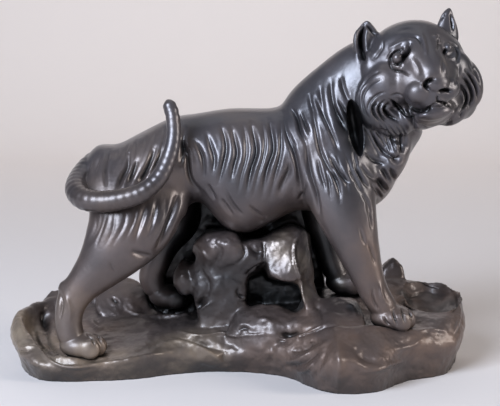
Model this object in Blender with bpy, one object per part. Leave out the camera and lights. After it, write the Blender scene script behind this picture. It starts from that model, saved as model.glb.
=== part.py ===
"""A cast bronze tiger that stands on a rough rock: one casting, 0.3 m long, facing +X with its head turned to -Y.

Every size below is in millimetres; the finished mesh is scaled to metres. The origin is at the middle of the
casting's footprint, on the surface that it stands on.
"""

import math

import bmesh
import bpy
import numpy as np
from mathutils import Euler, Matrix, Vector, noise

MM = 0.001

# The whole casting: the rock's length and width, and the tiger's height from GROUND_HEIGHT to its ear tips
ROCK_LENGTH = 295.0
ROCK_WIDTH = 138.0
TIGER_HEIGHT = 211.0

# The sizes that the tables below are drawn at
DRAWN_LENGTH = 295.0
DRAWN_WIDTH = 138.0
DRAWN_HEIGHT = 211.0
LONG = ROCK_LENGTH / DRAWN_LENGTH
WIDE = ROCK_WIDTH / DRAWN_WIDTH
TALL = TIGER_HEIGHT / DRAWN_HEIGHT

# The rock that the tiger stands on
GROUND_HEIGHT = 23.0
GROUND_RISE_ALONG = 0.085
GROUND_RISE_BACK = 0.25
GROUND_ROUGHNESS = 1.2
BELT_HEIGHT = 22.0
UNDERCUT = 8.0
RIM_LIP = 9.0
ROCK_AXIS_FROM_X = -90.0
ROCK_AXIS_TO_X = 100.0
ROCK_AXIS_Y = 5.0
NEAR_PAW_Y = -30.0
FAR_PAW_Y = 26.0

# The widest outline of the rock, seen from above, anticlockwise from its left end:
# x, y, how far the rim is set in from it, and the rim's height above GROUND_HEIGHT
ROCK_OUTLINE = [
    (-147, 4, 4, 12),
    (-141, -20, 9, 1),
    (-122, -45, 7, -8),
    (-88, -47, 4, -9),
    (-60, -42, 3, -7),
    (-37, -30, 3, -4),
    (-8, -25, 3, -5),
    (26, -34, 5, -2),
    (44, -57, 15, 7),
    (59, -76, 28, 14),
    (86, -72, 26, 14),
    (104, -50, 11, 10),
    (138, -30, 7, 12),
    (148, -2, 4, 21),
    (147, 26, 5, 24),
    (112, 54, 8, 27),
    (55, 62, 10, 21),
    (10, 62, 10, 15),
    (-40, 60, 10, 11),
    (-85, 60, 9, 15),
    (-118, 50, 8, 18),
    (-140, 30, 6, 14),
]

# The crag under the belly, block by block: each corner's x, y and height above GROUND_HEIGHT
OUTCROP = [
    [
        (-30, -5, 56), (-21, -11, 63), (-8, -13, 63), (17, -14, 65), (17, -14, 47), (2, -14, 47),
        (-15, -12, 45), (-27, -8, 47), (-30, 22, 50), (-20, 24, 57), (18, 26, 59), (18, 24, 39), (-24, 22, 39),
    ],
    [
        (14, -14, 65), (34, -15, 71), (40, -13, 68), (39, -15, 37), (16, -14, 37), (44, 10, 63),
        (16, 24, 59), (43, 20, 39), (14, 22, 33),
    ],
    [
        (40, -11, 69), (37, -18, 53), (41, -19, 27), (45, -20, 9), (56, -6, 17), (49, -3, 61),
        (50, 8, 27), (48, 10, 61), (42, 10, 37), (38, 0, 9), (54, 12, 9),
    ],
    [
        (-27, -2, 49), (-25, -8, 24), (-20, -15, 11), (16, -11, 47), (16, -10, 40), (3, -12, 29), (2, -13, 17),
        (2, 22, 39), (-26, 20, 17), (-24, 18, 47), (5, 20, 9), (-32, -4, 9), (-34, 16, 9),
    ],
    [
        (-4, 4, 45), (44, 4, 45), (-4, 4, 5), (44, 4, 5), (-4, 25, 45), (44, 25, 45), (-4, 25, 5), (44, 25, 5),
    ],
    [
        (-50, 16, 11), (-48, 16, 41), (-38, 14, 63), (-31, 12, 83), (20, 10, 73), (40, 11, 83), (54, 14, 61),
        (60, 15, 15), (-52, 32, 11), (-44, 30, 45), (-30, 30, 69), (36, 30, 71), (56, 32, 39), (62, 32, 15),
    ],
    [
        (-34, -18, 3), (20, -24, 4), (46, -24, 5), (58, -10, 17), (-38, 0, 8), (-20, -12, 15), (30, -16, 14),
        (-30, 34, 7), (80, 16, 17), (80, 36, 17), (2, -16, 17), (48, 30, 19),
    ],
]

# The blocks along the back edge of the rock, in the same way
BACK_ROCKS = [
    [(97, 34, 17), (118, 34, 17), (112, 50, 17), (99, 48, 17), (108, 40, 42), (104, 42, 39), (112, 38, 33)],
    [(62, 34, 17), (120, 36, 19), (116, 54, 17), (66, 56, 15), (98, 36, 29), (84, 48, 27), (110, 48, 27)],
    [(110, 20, 15), (144, 12, 17), (146, 30, 19), (128, 46, 17), (137, 26, 27), (124, 30, 26), (140, 16, 23)],
    [(-142, 26, 7), (-110, 30, 7), (-112, 54, 5), (-134, 46, 5), (-130, 40, 20), (-122, 42, 18)],
    [(-112, 34, 5), (-60, 38, 5), (-62, 58, 3), (-108, 54, 5), (-100, 46, 17), (-76, 48, 13)],
]

# The trunk, from rump to chest: x, height of its centre above GROUND_HEIGHT, half height, half width
TRUNK = [
    (-98, 99, 10, 14),
    (-91, 97, 20, 24),
    (-78, 96, 28, 31),
    (-62, 100, 33, 33),
    (-42, 107, 34, 30),
    (-24, 113, 31, 28),
    (-6, 109, 37, 30),
    (6, 107.5, 39, 31),
    (22, 110, 37, 31),
    (38, 116, 36, 32),
    (54, 121, 42, 33),
    (68, 119, 40, 32),
    (80, 112, 30, 26),
]

# The neck, from shoulders to skull: x, y, height above GROUND_HEIGHT, half thickness, half width
NECK = [
    (58, 0, 118, 42, 32),
    (70, -1, 129, 41.5, 29),
    (84, -3, 144, 37, 25),
    (97, -8, 158, 33, 23),
    (107, -12, 166, 26, 23),
]

# Each leg, from body to paw: x, y, height above the ground under its paw, half thickness, half width
NEAR_FORE_LEG = [
    (58, -13, 124, 22, 14),
    (61, -21, 104, 26, 16),
    (66, -26, 84, 22, 16),
    (72, -29, 64, 17, 14),
    (78, -29, 46, 13, 12),
    (83, -29, 32, 10.5, 10.5),
    (88, -29, 21, 9.5, 10),
    (94, -29, 12, 9, 10.5),
]
FAR_FORE_LEG = [
    (57, 17, 110, 24, 13),
    (56, 23, 88, 22, 15),
    (55, 26, 66, 16, 13),
    (57, 26, 46, 12, 11),
    (61, 26, 30, 10, 10),
    (64, 26, 19, 9, 9.5),
    (68, 26, 11, 8.5, 10),
]
NEAR_HIND_LEG = [
    (-60, -13, 116, 30, 14),
    (-64, -22, 100, 34, 16),
    (-68, -28, 84, 29, 17),
    (-75, -31, 69, 23, 15),
    (-86, -32, 56, 16, 12),
    (-98, -32, 45, 11.5, 9.5),
    (-105, -32, 34, 10, 8.5),
    (-107, -32, 22, 9, 8.5),
    (-105, -32, 11, 9, 9.5),
]
FAR_HIND_LEG = [
    (-58, 15, 100, 30, 13),
    (-54, 22, 78, 28, 15),
    (-48, 26, 60, 21, 14),
    (-50, 27, 43, 13, 11),
    (-56, 27, 29, 9.5, 9),
    (-59, 27, 20, 9, 8),
    (-55, 27, 11, 8.5, 8.5),
]

LEGS = (NEAR_FORE_LEG, FAR_FORE_LEG, NEAR_HIND_LEG, FAR_HIND_LEG)

# Each paw, in the same order: x, y, how far the toes reach ahead of it
PAWS = (
    (98, NEAR_PAW_Y, 9),
    (73, FAR_PAW_Y, 8),
    (-99, NEAR_PAW_Y - 2, 10),
    (-47, FAR_PAW_Y + 1, 9),
)

PAW_RADII = (14, 11.5, 7.5)
PAW_PAD_HEIGHT = 6.0
TOES = 4
TOE_PITCH = 5.6
TOE_STAGGER = 1.6
TOE_FAN = 6.0
TOE_HEIGHT = 4.6
TOE_RADII = (6.2, 3.5, 5.2)

# Muscles that swell on either side of the trunk and along its underline:
# centre with its height above GROUND_HEIGHT, radii, and the angle that it leans forward by
MUSCLES = [
    ((84, -3, 106), (20, 25, 26), 24),
    ((100, -12, 118), (12, 17, 22), 22),
    ((-42, -19, 82), (13, 9, 16), 24),
    ((-42, 19, 82), (13, 9, 16), 24),
    ((-110, -32, 36), (6, 6, 9), -18),
]

# The tail, from root to tip: x, y, height above GROUND_HEIGHT, radius
TAIL = [
    (-84, 4, 110, 9),
    (-94, 0, 107, 8),
    (-101, -14, 101, 6.8),
    (-101, -30, 95, 6.2),
    (-93, -42, 91, 6),
    (-78, -48, 91, 5.6),
    (-60, -49, 95, 5.2),
    (-47, -46, 104, 5),
    (-40, -42, 118, 4.6),
    (-37, -39, 131, 4.4),
    (-38, -36, 143, 4),
    (-41, -33, 150, 3.6),
]

# The head's own frame: across to the tiger's left, up, and forward along its nose
HEAD_CENTRE = (111.0, -20.0, 173.0)
HEAD_TURN = 14.0
HEAD_ROLL = 11.0
HEAD_LIFT = 3.0
EYE_ACROSS = 17.2
EYE_UP = 9.0
EYE_FORWARD = 15.5
EYE_RADIUS = 4.6
EAR_ACROSS = 26.0
EAR_UP = 20.5
EAR_FORWARD = -5.0
EAR_HALF_WIDTH = 10.0
EAR_HALF_HEIGHT = 14.5
EAR_HALF_THICKNESS = 4.4
EAR_TURN = 34.0
EAR_SPLAY = 14.0

# The head in its own frame: across, up, forward, half thickness, half width
SKULL = [
    (0, 26, -3, 7, 12),
    (0, 22, -3, 13, 20),
    (0, 14, -3, 18.5, 25.5),
    (0, 4, -3, 19.5, 30),
    (0, -6, -4, 18, 35),
    (0, -16, -5, 16, 38),
    (0, -25, -5, 14.5, 36),
    (0, -33, -3, 12, 28),
    (0, -39, 0, 8, 16),
]
NOSE_BRIDGE = [
    (0, 17, 7, 9, 14),
    (0, 9, 13, 10, 12.5),
    (0, 1, 19.5, 10.5, 11),
    (0, -5, 25, 10, 9.5),
    (0, -9, 28.5, 8, 8),
]
MUZZLE = [
    (0, -6, 6, 18, 24),
    (0, -9, 14, 16, 20),
    (0, -13, 21, 13, 16),
    (0, -15, 26.5, 10, 13),
    (0, -15, 30, 6, 8),
]

# The stripes that are cut into each side of the ribs
RIB_STRIPES = 11
RIB_STRIPE_FROM_X = -31.0
RIB_STRIPE_PITCH = 6.6
RIB_STRIPE_LEAN = 8.0
RIB_STRIPE_WAVE = 1.8
RIB_STRIPE_HALF_WIDTH = 2.9
RIB_STRIPE_DEPTH = 1.9
RIB_STRIPE_TOP = 139.0
RIB_STRIPE_FOOT = 86.0
RIB_STRIPE_RAGGED_TOP = 3.0
RIB_STRIPE_RISING_FOOT = 2.4
RIB_STRIPE_POINTS = 6

# The folds and the marks in the coat of each flank: points along and above GROUND_HEIGHT, half width, depth
FLANK_STROKES = [
    ([(34, 139), (38, 127), (41, 115), (45, 101), (46, 87)], 3.2, 1.8),
    ([(-46, 129), (-38, 115), (-36, 101), (-33, 87)], 3.4, 1.6),
    ([(47, 149), (54, 137), (62, 125), (66, 111)], 3, 1.5),
    ([(57, 157), (66, 143), (74, 131), (79, 117)], 3, 1.5),
    ([(67, 167), (75, 153), (84, 139), (90, 125)], 3, 1.4),
    ([(74, 105), (80, 93), (84, 81)], 2.8, 1.4),
    ([(88, 123), (95, 111), (98, 99)], 2.8, 1.5),
    ([(98, 127), (104, 115), (105, 103)], 2.6, 1.4),
    ([(-76, 93), (-66, 81), (-58, 67)], 3, 1.3),
    ([(-86, 81), (-78, 69), (-72, 57)], 3, 1.2),
    ([(-88, 123), (-82, 113), (-80, 101)], 3, 1.2),
    ([(-74, 129), (-69, 117), (-68, 103)], 3, 1.2),
    ([(-60, 135), (-56, 123), (-56, 109)], 3, 1.2),
]

# Frames that look at the flanks: along the tiger, up from GROUND_HEIGHT, and towards that side
NEAR_SIDE = Matrix(((1, 0, 0, 0), (0, 0, -1, 0), (0, TALL, 0, GROUND_HEIGHT), (0, 0, 0, 1)))
FAR_SIDE = Matrix(((1, 0, 0, 0), (0, 0, 1, 0), (0, TALL, 0, GROUND_HEIGHT), (0, 0, 0, 1)))

# How fine the casting is
VOXEL = 1.6
MUSCLE_PASSES = 24
FILLET_PASSES = 4
MOST_TRIANGLES = 11800
FOOT_TOLERANCE = 0.4
RING_POINTS = 20
STEPS_BETWEEN_SECTIONS = 4

# The finish of the bronze
BRONZE_COLOUR = (0.055, 0.045, 0.04, 1.0)
BRONZE_ROUGHNESS = 0.34
BRONZE_METALLIC = 0.75


def ground_at(x, y):
    """Height of the rock's top, which rises along the tiger and towards its far side."""
    return GROUND_HEIGHT + GROUND_RISE_ALONG * x + GROUND_RISE_BACK * (y - NEAR_PAW_Y)


def spline(sections):
    """Points on a smooth curve through the sections, ends included; a section is any row of numbers."""
    rows = np.array(sections, float)
    padded = np.vstack([2 * rows[0] - rows[1], rows, 2 * rows[-1] - rows[-2]])
    found = []
    for before, start, end, after in zip(padded, padded[1:], padded[2:], padded[3:]):
        for step in range(STEPS_BETWEEN_SECTIONS):
            t = step / STEPS_BETWEEN_SECTIONS
            bend = (2 * before - 5 * start + 4 * end - after) * t * t
            twist = (3 * start - before - 3 * end + after) * t * t * t
            found.append((2 * start + (end - before) * t + bend + twist) / 2)
    found.append(rows[-1])
    return found


def loft(shape, sections, side=(0, 1, 0), frame=None):
    """Adds a closed skin through elliptical sections: a centre, half its thickness and half its width."""
    rows = spline(sections)
    centres = [Vector(row[:3]) for row in rows]
    side = Vector(side)
    made = []
    rings = []
    for index, row in enumerate(rows):
        ahead = centres[min(index + 1, len(rows) - 1)]
        behind = centres[max(index - 1, 0)]
        along = (ahead - behind).normalized()
        side = (side - along * side.dot(along)).normalized()
        over = along.cross(side)
        ring = []
        for point in range(RING_POINTS):
            angle = 2 * math.pi * point / RING_POINTS
            offset = over * math.cos(angle) * row[3] + side * math.sin(angle) * row[4]
            ring.append(shape.verts.new(centres[index] + offset))
        rings.append(ring)
        made.extend(ring)
    for ring, following in zip(rings, rings[1:]):
        for point in range(RING_POINTS):
            after = (point + 1) % RING_POINTS
            shape.faces.new((ring[point], ring[after], following[after], following[point]))
    for ring, inner, centre, row in (
        (rings[0], centres[1], centres[0], rows[0]),
        (rings[-1], centres[-2], centres[-1], rows[-1]),
    ):
        outwards = (centre - inner).normalized()
        pole = shape.verts.new(centre + outwards * 0.6 * min(row[3], row[4]))
        made.append(pole)
        for point in range(RING_POINTS):
            shape.faces.new((ring[point], ring[(point + 1) % RING_POINTS], pole))
    if frame is not None:
        bmesh.ops.transform(shape, matrix=frame, verts=made)


def ball(shape, centre, radii, turn=(0, 0, 0), frame=None):
    """Adds an ellipsoid, turned by Euler angles in degrees, in the frame of the object or in another one."""
    spin = Euler([math.radians(a) for a in turn]).to_matrix().to_4x4()
    place = Matrix.Translation(Vector(centre)) @ spin @ Matrix.Diagonal((*radii, 1.0))
    if frame is not None:
        place = frame @ place
    bmesh.ops.create_icosphere(shape, subdivisions=3, radius=1.0, matrix=place)


def crag(shape, corners):
    """Adds a block of rock: the flat faces that hold its corners."""
    verts = [shape.verts.new((x, y, GROUND_HEIGHT + z * TALL)) for x, y, z in corners]
    wrapped = bmesh.ops.convex_hull(shape, input=verts)
    spare = [piece for piece in wrapped["geom_interior"] if isinstance(piece, bmesh.types.BMVert)]
    bmesh.ops.delete(shape, geom=spare, context="VERTS")


def head_frame():
    """The matrix from the head's own frame (across, up, forward) to the object's."""
    level = Matrix(((1, 0, 0), (0, 0, -1), (0, 1, 0))).to_4x4()
    turn = Matrix.Rotation(math.radians(HEAD_TURN), 4, "Y")
    lift = Matrix.Rotation(math.radians(-HEAD_LIFT), 4, "X")
    roll = Matrix.Rotation(math.radians(HEAD_ROLL), 4, "Z")
    x, y, z = HEAD_CENTRE
    return Matrix.Translation((x, y, GROUND_HEIGHT + z * TALL)) @ level @ turn @ lift @ roll


def add_rock(shape):
    """The slab of rock: undercut below its widest line, with a rim round a sloping top."""
    columns = []
    for drawn_x, drawn_y, inset, height in ROCK_OUTLINE:
        x = drawn_x * LONG
        y = drawn_y * WIDE
        axis_x = min(max(x, ROCK_AXIS_FROM_X), ROCK_AXIS_TO_X)
        inwards = Vector((axis_x - x, ROCK_AXIS_Y - y, 0)).normalized()
        edge = Vector((x, y, 0))
        reach = (Vector((axis_x, ROCK_AXIS_Y, 0)) - edge).length
        rim = edge + inwards * inset
        column = [
            edge + inwards * UNDERCUT + Vector((0, 0, -BELT_HEIGHT / 2)),
            edge + inwards * UNDERCUT,
            edge + Vector((0, 0, BELT_HEIGHT)),
            rim + Vector((0, 0, GROUND_HEIGHT + height)),
            rim + inwards * RIM_LIP / 2 + Vector((0, 0, GROUND_HEIGHT + height)),
        ]
        for share in (0.0, 0.35, 0.7, 0.92):
            flat = edge + inwards * (inset + RIM_LIP + (reach - inset - RIM_LIP) * share)
            flat.z = ground_at(flat.x, flat.y)
            column.append(flat)
        columns.append([shape.verts.new(point) for point in column])
    for column, following in zip(columns, columns[1:] + columns[:1]):
        for row in range(len(column) - 1):
            shape.faces.new((column[row], following[row], following[row + 1], column[row + 1]))
    shape.faces.new([column[0] for column in reversed(columns)])
    shape.faces.new([column[-1] for column in columns])


def add_outcrop(shape):
    """The crag under the belly, hollow at its foot, and the blocks along the rock's back edge."""
    for corners in OUTCROP:
        crag(shape, corners)
    for corners in BACK_ROCKS:
        crag(shape, [(x * LONG, y * WIDE, z) for x, y, z in corners])


def add_leg(shape, sections, paw_x, paw_y):
    """A leg from the body down to its paw."""
    level = ground_at(paw_x, paw_y)
    loft(shape, [(x, y, level + height * TALL, thick, wide) for x, y, height, thick, wide in sections])


def add_paw(shape, paw_x, paw_y, toe_reach):
    """A paw that lies on the rock's top, with its four toes."""
    level = ground_at(paw_x, paw_y)
    ball(shape, (paw_x, paw_y, level + PAW_PAD_HEIGHT), PAW_RADII, (0, 4, 0))
    for toe in range(TOES):
        off = toe - (TOES - 1) / 2
        ahead = toe_reach - TOE_STAGGER * off * off
        centre = (paw_x + ahead, paw_y + off * TOE_PITCH, level + TOE_HEIGHT)
        ball(shape, centre, TOE_RADII, (0, 12, off * -TOE_FAN))


def add_muscle(shape):
    """The trunk, neck, chest and legs."""
    loft(shape, [(x, 0, GROUND_HEIGHT + z * TALL, high * TALL, wide) for x, z, high, wide in TRUNK])
    loft(shape, [(x, y, GROUND_HEIGHT + z * TALL, thick, wide) for x, y, z, thick, wide in NECK])
    for (x, y, z), radii, lean in MUSCLES:
        ball(shape, (x, y, GROUND_HEIGHT + z * TALL), radii, (0, lean, 0))
    for sections, (paw_x, paw_y, _) in zip(LEGS, PAWS):
        add_leg(shape, sections, paw_x, paw_y)


def add_tail(shape):
    """The tail, which sweeps round the near haunch and stands up beside the back."""
    loft(shape, [(x, y, GROUND_HEIGHT + z * TALL, radius, radius) for x, y, z, radius in TAIL])


def add_head(shape):
    """The skull, cheeks, muzzle, eyes and ears, placed in the head's own frame."""
    frame = head_frame()
    across = (1, 0, 0)
    loft(shape, SKULL, across, frame)
    loft(shape, NOSE_BRIDGE, across, frame)
    loft(shape, MUZZLE, across, frame)
    ball(shape, (0, -9.5, 32), (6.5, 4, 3.5), frame=frame)
    ball(shape, (0, -27, 17), (12.5, 7, 11), frame=frame)
    for hand in (-1, 1):
        ball(shape, (hand * 21, -8, 5), (15, 14, 12), frame=frame)
        ball(shape, (hand * 32, -15, 3), (8, 18, 9), (0, 0, hand * 6), frame)
        ball(shape, (hand * 23, -29, -1), (12, 8, 9), (0, 0, hand * 36), frame)
        ball(shape, (hand * 8, -16, 25.5), (8, 6.5, 7), frame=frame)
        ball(shape, (hand * 10, 15.5, 14), (6.5, 3.4, 3.4), (0, 0, hand * -12), frame)
        ball(shape, (hand * EYE_ACROSS, EYE_UP, EYE_FORWARD), [EYE_RADIUS] * 3, frame=frame)
        ear = (hand * EAR_ACROSS, EAR_UP, EAR_FORWARD)
        sizes = (EAR_HALF_WIDTH, EAR_HALF_HEIGHT, EAR_HALF_THICKNESS)
        ball(shape, ear, sizes, (0, hand * EAR_TURN, hand * -EAR_SPLAY), frame)


def fused(shape, passes):
    """The lumps melted into one skin, as clay is: a fine voxel mesh whose creases are filled by each pass."""
    bmesh.ops.recalc_face_normals(shape, faces=shape.faces)
    mesh = bpy.data.meshes.new("clay")
    shape.to_mesh(mesh)
    shape.free()
    clay = bpy.data.objects.new("clay", mesh)
    bpy.context.scene.collection.objects.link(clay)
    melt = clay.modifiers.new("melt", "REMESH")
    melt.mode = "VOXEL"
    melt.voxel_size = VOXEL
    melt.adaptivity = 0.0
    fill = clay.modifiers.new("fill", "SMOOTH")
    fill.factor = 0.5
    fill.iterations = round(passes)
    skin = bpy.data.meshes.new_from_object(clay.evaluated_get(bpy.context.evaluated_depsgraph_get()))
    bpy.data.objects.remove(clay)
    return skin


def weathered(skin):
    """Gives the rock an uneven skin."""
    normals = [vert.normal.copy() for vert in skin.vertices]
    for vert, normal in zip(skin.vertices, normals):
        vert.co += normal * GROUND_ROUGHNESS * noise.fractal(vert.co * 0.035, 1.0, 2.0, 3)
    return skin


def side_strokes():
    """The strokes that each flank gets, in a frame that looks at it: points, half width, depth."""
    strokes = list(FLANK_STROKES)
    for rib in range(RIB_STRIPES):
        x = RIB_STRIPE_FROM_X + rib * RIB_STRIPE_PITCH
        high = RIB_STRIPE_TOP - RIB_STRIPE_RAGGED_TOP * (rib % 2)
        low = RIB_STRIPE_FOOT + RIB_STRIPE_RISING_FOOT * abs(rib - RIB_STRIPES // 2)
        points = []
        for step in range(RIB_STRIPE_POINTS):
            share = step / (RIB_STRIPE_POINTS - 1)
            wave = RIB_STRIPE_WAVE * math.sin(rib * 1.3 + share * 7)
            points.append((x + RIB_STRIPE_LEAN * share + wave, high + (low - high) * share))
        strokes.append((points, RIB_STRIPE_HALF_WIDTH, RIB_STRIPE_DEPTH))
    return strokes


def face_strokes():
    """The strokes that the face gets, in the head's own frame."""
    strokes = [
        ([(0, 23), (0, 13)], 3.2, 1.3),
        ([(0, -13), (0, -21)], 1.9, 1.4),
    ]
    for hand in (-1, 1):
        ring = []
        for step in range(11):
            angle = 2 * math.pi * step / 10
            ring.append((hand * EYE_ACROSS + 6 * math.cos(angle), EYE_UP + 5 * math.sin(angle)))
        strokes.append((ring, 2.5, 2.2))
        strokes.append(([(hand * 12.5, 7.5), (hand * 9.5, 4)], 2.4, 1.8))
        strokes.append(([(0, -21.5), (hand * 5, -22.5), (hand * 10, -24), (hand * 15, -20.5)], 2.3, 2.6))
        strokes.append(([(hand * 3.6, -11), (hand * 5.4, -9.5)], 2.2, 2.2))
        strokes.append(([(hand * 25.5, 16), (hand * 28, 23)], 8.5, 4.5))
        for curl in range(3):
            inwards = 5 * curl
            strokes.append(([
                (hand * (31 - inwards), 2 - inwards / 2),
                (hand * (35.5 - inwards), -11),
                (hand * (33 - inwards), -23 + inwards / 3),
                (hand * (24 - inwards), -33 + inwards / 2),
            ], 2.4, 2.0))
    return strokes


def carve(skin, frame, strokes, nearest_depth):
    """Presses each stroke into the skin that faces the frame's third axis, nearest_depth or more along it."""
    count = len(skin.vertices)
    coords = np.empty(count * 3)
    normals = np.empty(count * 3)
    skin.vertices.foreach_get("co", coords)
    skin.vertices.foreach_get("normal", normals)
    coords = coords.reshape(-1, 3)
    normals = normals.reshape(-1, 3)
    moved = coords.copy()
    back = np.array(frame.inverted())
    local = coords @ back[:3, :3].T + back[:3, 3]
    facing = np.clip(2.5 * (normals @ back[2, :3]), 0, 1) * (local[:, 2] > nearest_depth)
    for points, half_width, depth in strokes:
        nearest = np.full(count, 1e9)
        for start, end in zip(points, points[1:]):
            start = np.array(start, float)
            run = np.array(end, float) - start
            share = np.clip(((local[:, :2] - start) @ run) / (run @ run), 0, 1)
            gap = local[:, :2] - start - share[:, None] * run
            nearest = np.minimum(nearest, np.hypot(gap[:, 0], gap[:, 1]))
        bite = np.clip(1 - (nearest / half_width) ** 2, 0, 1) ** 2 * facing
        moved -= normals * (bite * depth)[:, None]
    skin.vertices.foreach_set("co", moved.ravel())
    skin.update()


def thinned(figure):
    """Merges the flatter faces, so that the triangles go where the carving is."""
    thin = figure.modifiers.new("thin", "DECIMATE")
    thin.ratio = MOST_TRIANGLES / sum(len(face.vertices) - 2 for face in figure.data.polygons)
    thin.use_collapse_triangulate = True
    coarse = bpy.data.meshes.new_from_object(figure.evaluated_get(bpy.context.evaluated_depsgraph_get()))
    figure.modifiers.clear()
    figure.data = coarse


def cut_foot(skin):
    """Cuts the foot of the rock level."""
    shape = bmesh.new()
    shape.from_mesh(skin)
    every = shape.verts[:] + shape.edges[:] + shape.faces[:]
    cut = bmesh.ops.bisect_plane(shape, geom=every, plane_co=(0, 0, 0), plane_no=(0, 0, 1), clear_inner=True)
    edges = [piece for piece in cut["geom_cut"] if isinstance(piece, bmesh.types.BMEdge)]
    foot = bmesh.ops.holes_fill(shape, edges=edges)["faces"]
    bmesh.ops.triangulate(shape, faces=foot)
    shape.to_mesh(skin)
    shape.free()


def centred(figure):
    """Centres the casting over the origin, its foot exactly level, and scales it to metres."""
    shape = bmesh.new()
    shape.from_mesh(figure.data)
    for vert in shape.verts:
        if vert.co.z < FOOT_TOLERANCE:
            vert.co.z = 0.0
    middle = Vector((0, 0, 0))
    for axis in (0, 1):
        places = [vert.co[axis] for vert in shape.verts]
        middle[axis] = (min(places) + max(places)) / 2
    bmesh.ops.translate(shape, vec=-middle, verts=shape.verts)
    bmesh.ops.scale(shape, vec=(MM, MM, MM), verts=shape.verts)
    shape.to_mesh(figure.data)
    shape.free()


def bronze():
    """Dark brown patina over bronze."""
    material = bpy.data.materials.new("bronze")
    material.use_nodes = True
    paint = material.node_tree.nodes["Principled BSDF"]
    paint.inputs["Base Color"].default_value = BRONZE_COLOUR
    paint.inputs["Roughness"].default_value = BRONZE_ROUGHNESS
    paint.inputs["Metallic"].default_value = BRONZE_METALLIC
    return material


def main():
    for leftover in list(bpy.data.objects):
        bpy.data.objects.remove(leftover)
    muscle = bmesh.new()
    add_muscle(muscle)
    tiger = bmesh.new()
    tiger.from_mesh(fused(muscle, MUSCLE_PASSES))
    for paw_x, paw_y, toe_reach in PAWS:
        add_paw(tiger, paw_x, paw_y, toe_reach)
    add_tail(tiger)
    add_head(tiger)
    rock = bmesh.new()
    add_rock(rock)
    add_outcrop(rock)
    casting = bmesh.new()
    casting.from_mesh(fused(tiger, FILLET_PASSES))
    casting.from_mesh(weathered(fused(rock, FILLET_PASSES)))
    skin = fused(casting, 2)
    carve(skin, NEAR_SIDE, side_strokes(), 0)
    carve(skin, FAR_SIDE, side_strokes(), 0)
    carve(skin, head_frame(), face_strokes(), -14)
    cut_foot(skin)
    figure = bpy.data.objects.new("tiger_on_rock", skin)
    bpy.context.scene.collection.objects.link(figure)
    thinned(figure)
    centred(figure)
    figure.data.materials.append(bronze())
    figure.data.shade_smooth()


main()
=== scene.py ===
"""A cast bronze tiger on a rough rock, photographed from its right side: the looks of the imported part.

Lengths in the modelling sections are millimetres in the drawing that the part was made from. PLACE and MM put
the finished pieces where the part lies.
"""

import math

import bmesh
import bpy
import numpy as np
from mathutils import Euler, Matrix, Vector, noise


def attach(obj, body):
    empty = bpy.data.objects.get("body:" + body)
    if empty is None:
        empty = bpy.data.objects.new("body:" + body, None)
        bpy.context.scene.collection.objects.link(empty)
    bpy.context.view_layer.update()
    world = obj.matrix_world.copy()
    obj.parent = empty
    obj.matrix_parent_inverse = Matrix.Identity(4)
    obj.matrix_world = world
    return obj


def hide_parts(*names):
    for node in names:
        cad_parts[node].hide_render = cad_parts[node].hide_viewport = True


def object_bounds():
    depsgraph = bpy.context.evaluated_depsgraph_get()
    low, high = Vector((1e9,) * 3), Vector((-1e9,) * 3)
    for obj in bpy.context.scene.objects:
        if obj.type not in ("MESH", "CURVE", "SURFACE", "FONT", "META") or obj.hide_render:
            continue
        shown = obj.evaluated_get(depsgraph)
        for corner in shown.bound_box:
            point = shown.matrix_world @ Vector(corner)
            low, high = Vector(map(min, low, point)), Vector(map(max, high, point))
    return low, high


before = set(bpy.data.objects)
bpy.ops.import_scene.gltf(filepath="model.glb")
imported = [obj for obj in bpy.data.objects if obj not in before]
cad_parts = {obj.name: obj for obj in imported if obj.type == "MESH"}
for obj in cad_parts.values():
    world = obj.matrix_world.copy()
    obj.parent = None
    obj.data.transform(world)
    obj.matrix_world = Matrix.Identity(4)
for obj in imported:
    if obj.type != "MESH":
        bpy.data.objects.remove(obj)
cad_low, cad_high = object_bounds()


# The rock base
# The rough rock that the tiger stands on, with a crag under its belly. It is part of the one bronze casting:
# undercut at its foot, with a worn rim round a sloping top, and patinated dark brown.

MM = 0.001
DRAWN_LEFT_END = -146.2
DRAWN_BACK_EDGE = 61.6
PLACE = Vector((cad_low.x / MM - DRAWN_LEFT_END, cad_high.y / MM - DRAWN_BACK_EDGE, 0.0))

GROUND_HEIGHT = 23.0
GROUND_RISE_ALONG = 0.085
GROUND_RISE_BACK = 0.25
UNDERCUT = 8.0
RIM_LIP = 9.0
ROCK_AXIS = (-90.0, 100.0, 5.0)
NEAR_PAW_Y = -30.0
FAR_PAW_Y = 26.0

# The outline, anticlockwise from its left end: x, y, inset of the rim, height of the rim above GROUND_HEIGHT,
# height of the belt
ROCK_OUTLINE = [
    (-150.5, 4, 3, 13, 22),
    (-145, -20, 6, 5, 20),
    (-124, -46, 7, -7, 12),
    (-88, -47, 4, -9, 13),
    (-60, -42, 3, -7, 20),
    (-37, -30, 3, -4, 16),
    (-8, -25, 3, -5, 10),
    (26, -34, 5, -2, 20),
    (44, -57, 15, 7, 14),
    (59, -76, 28, 14, 24),
    (86, -72, 26, 14, 18),
    (104, -50, 11, 10, 25),
    (138, -30, 7, 12, 22),
    (150, -2, 4, 21, 26),
    (149, 26, 5, 24, 22),
    (112, 54, 8, 27, 22),
    (55, 62, 10, 21, 22),
    (10, 62, 10, 15, 20),
    (-40, 60, 10, 11, 22),
    (-85, 60, 9, 15, 24),
    (-118, 50, 8, 18, 22),
    (-143, 30, 5, 15, 20),
]

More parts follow.
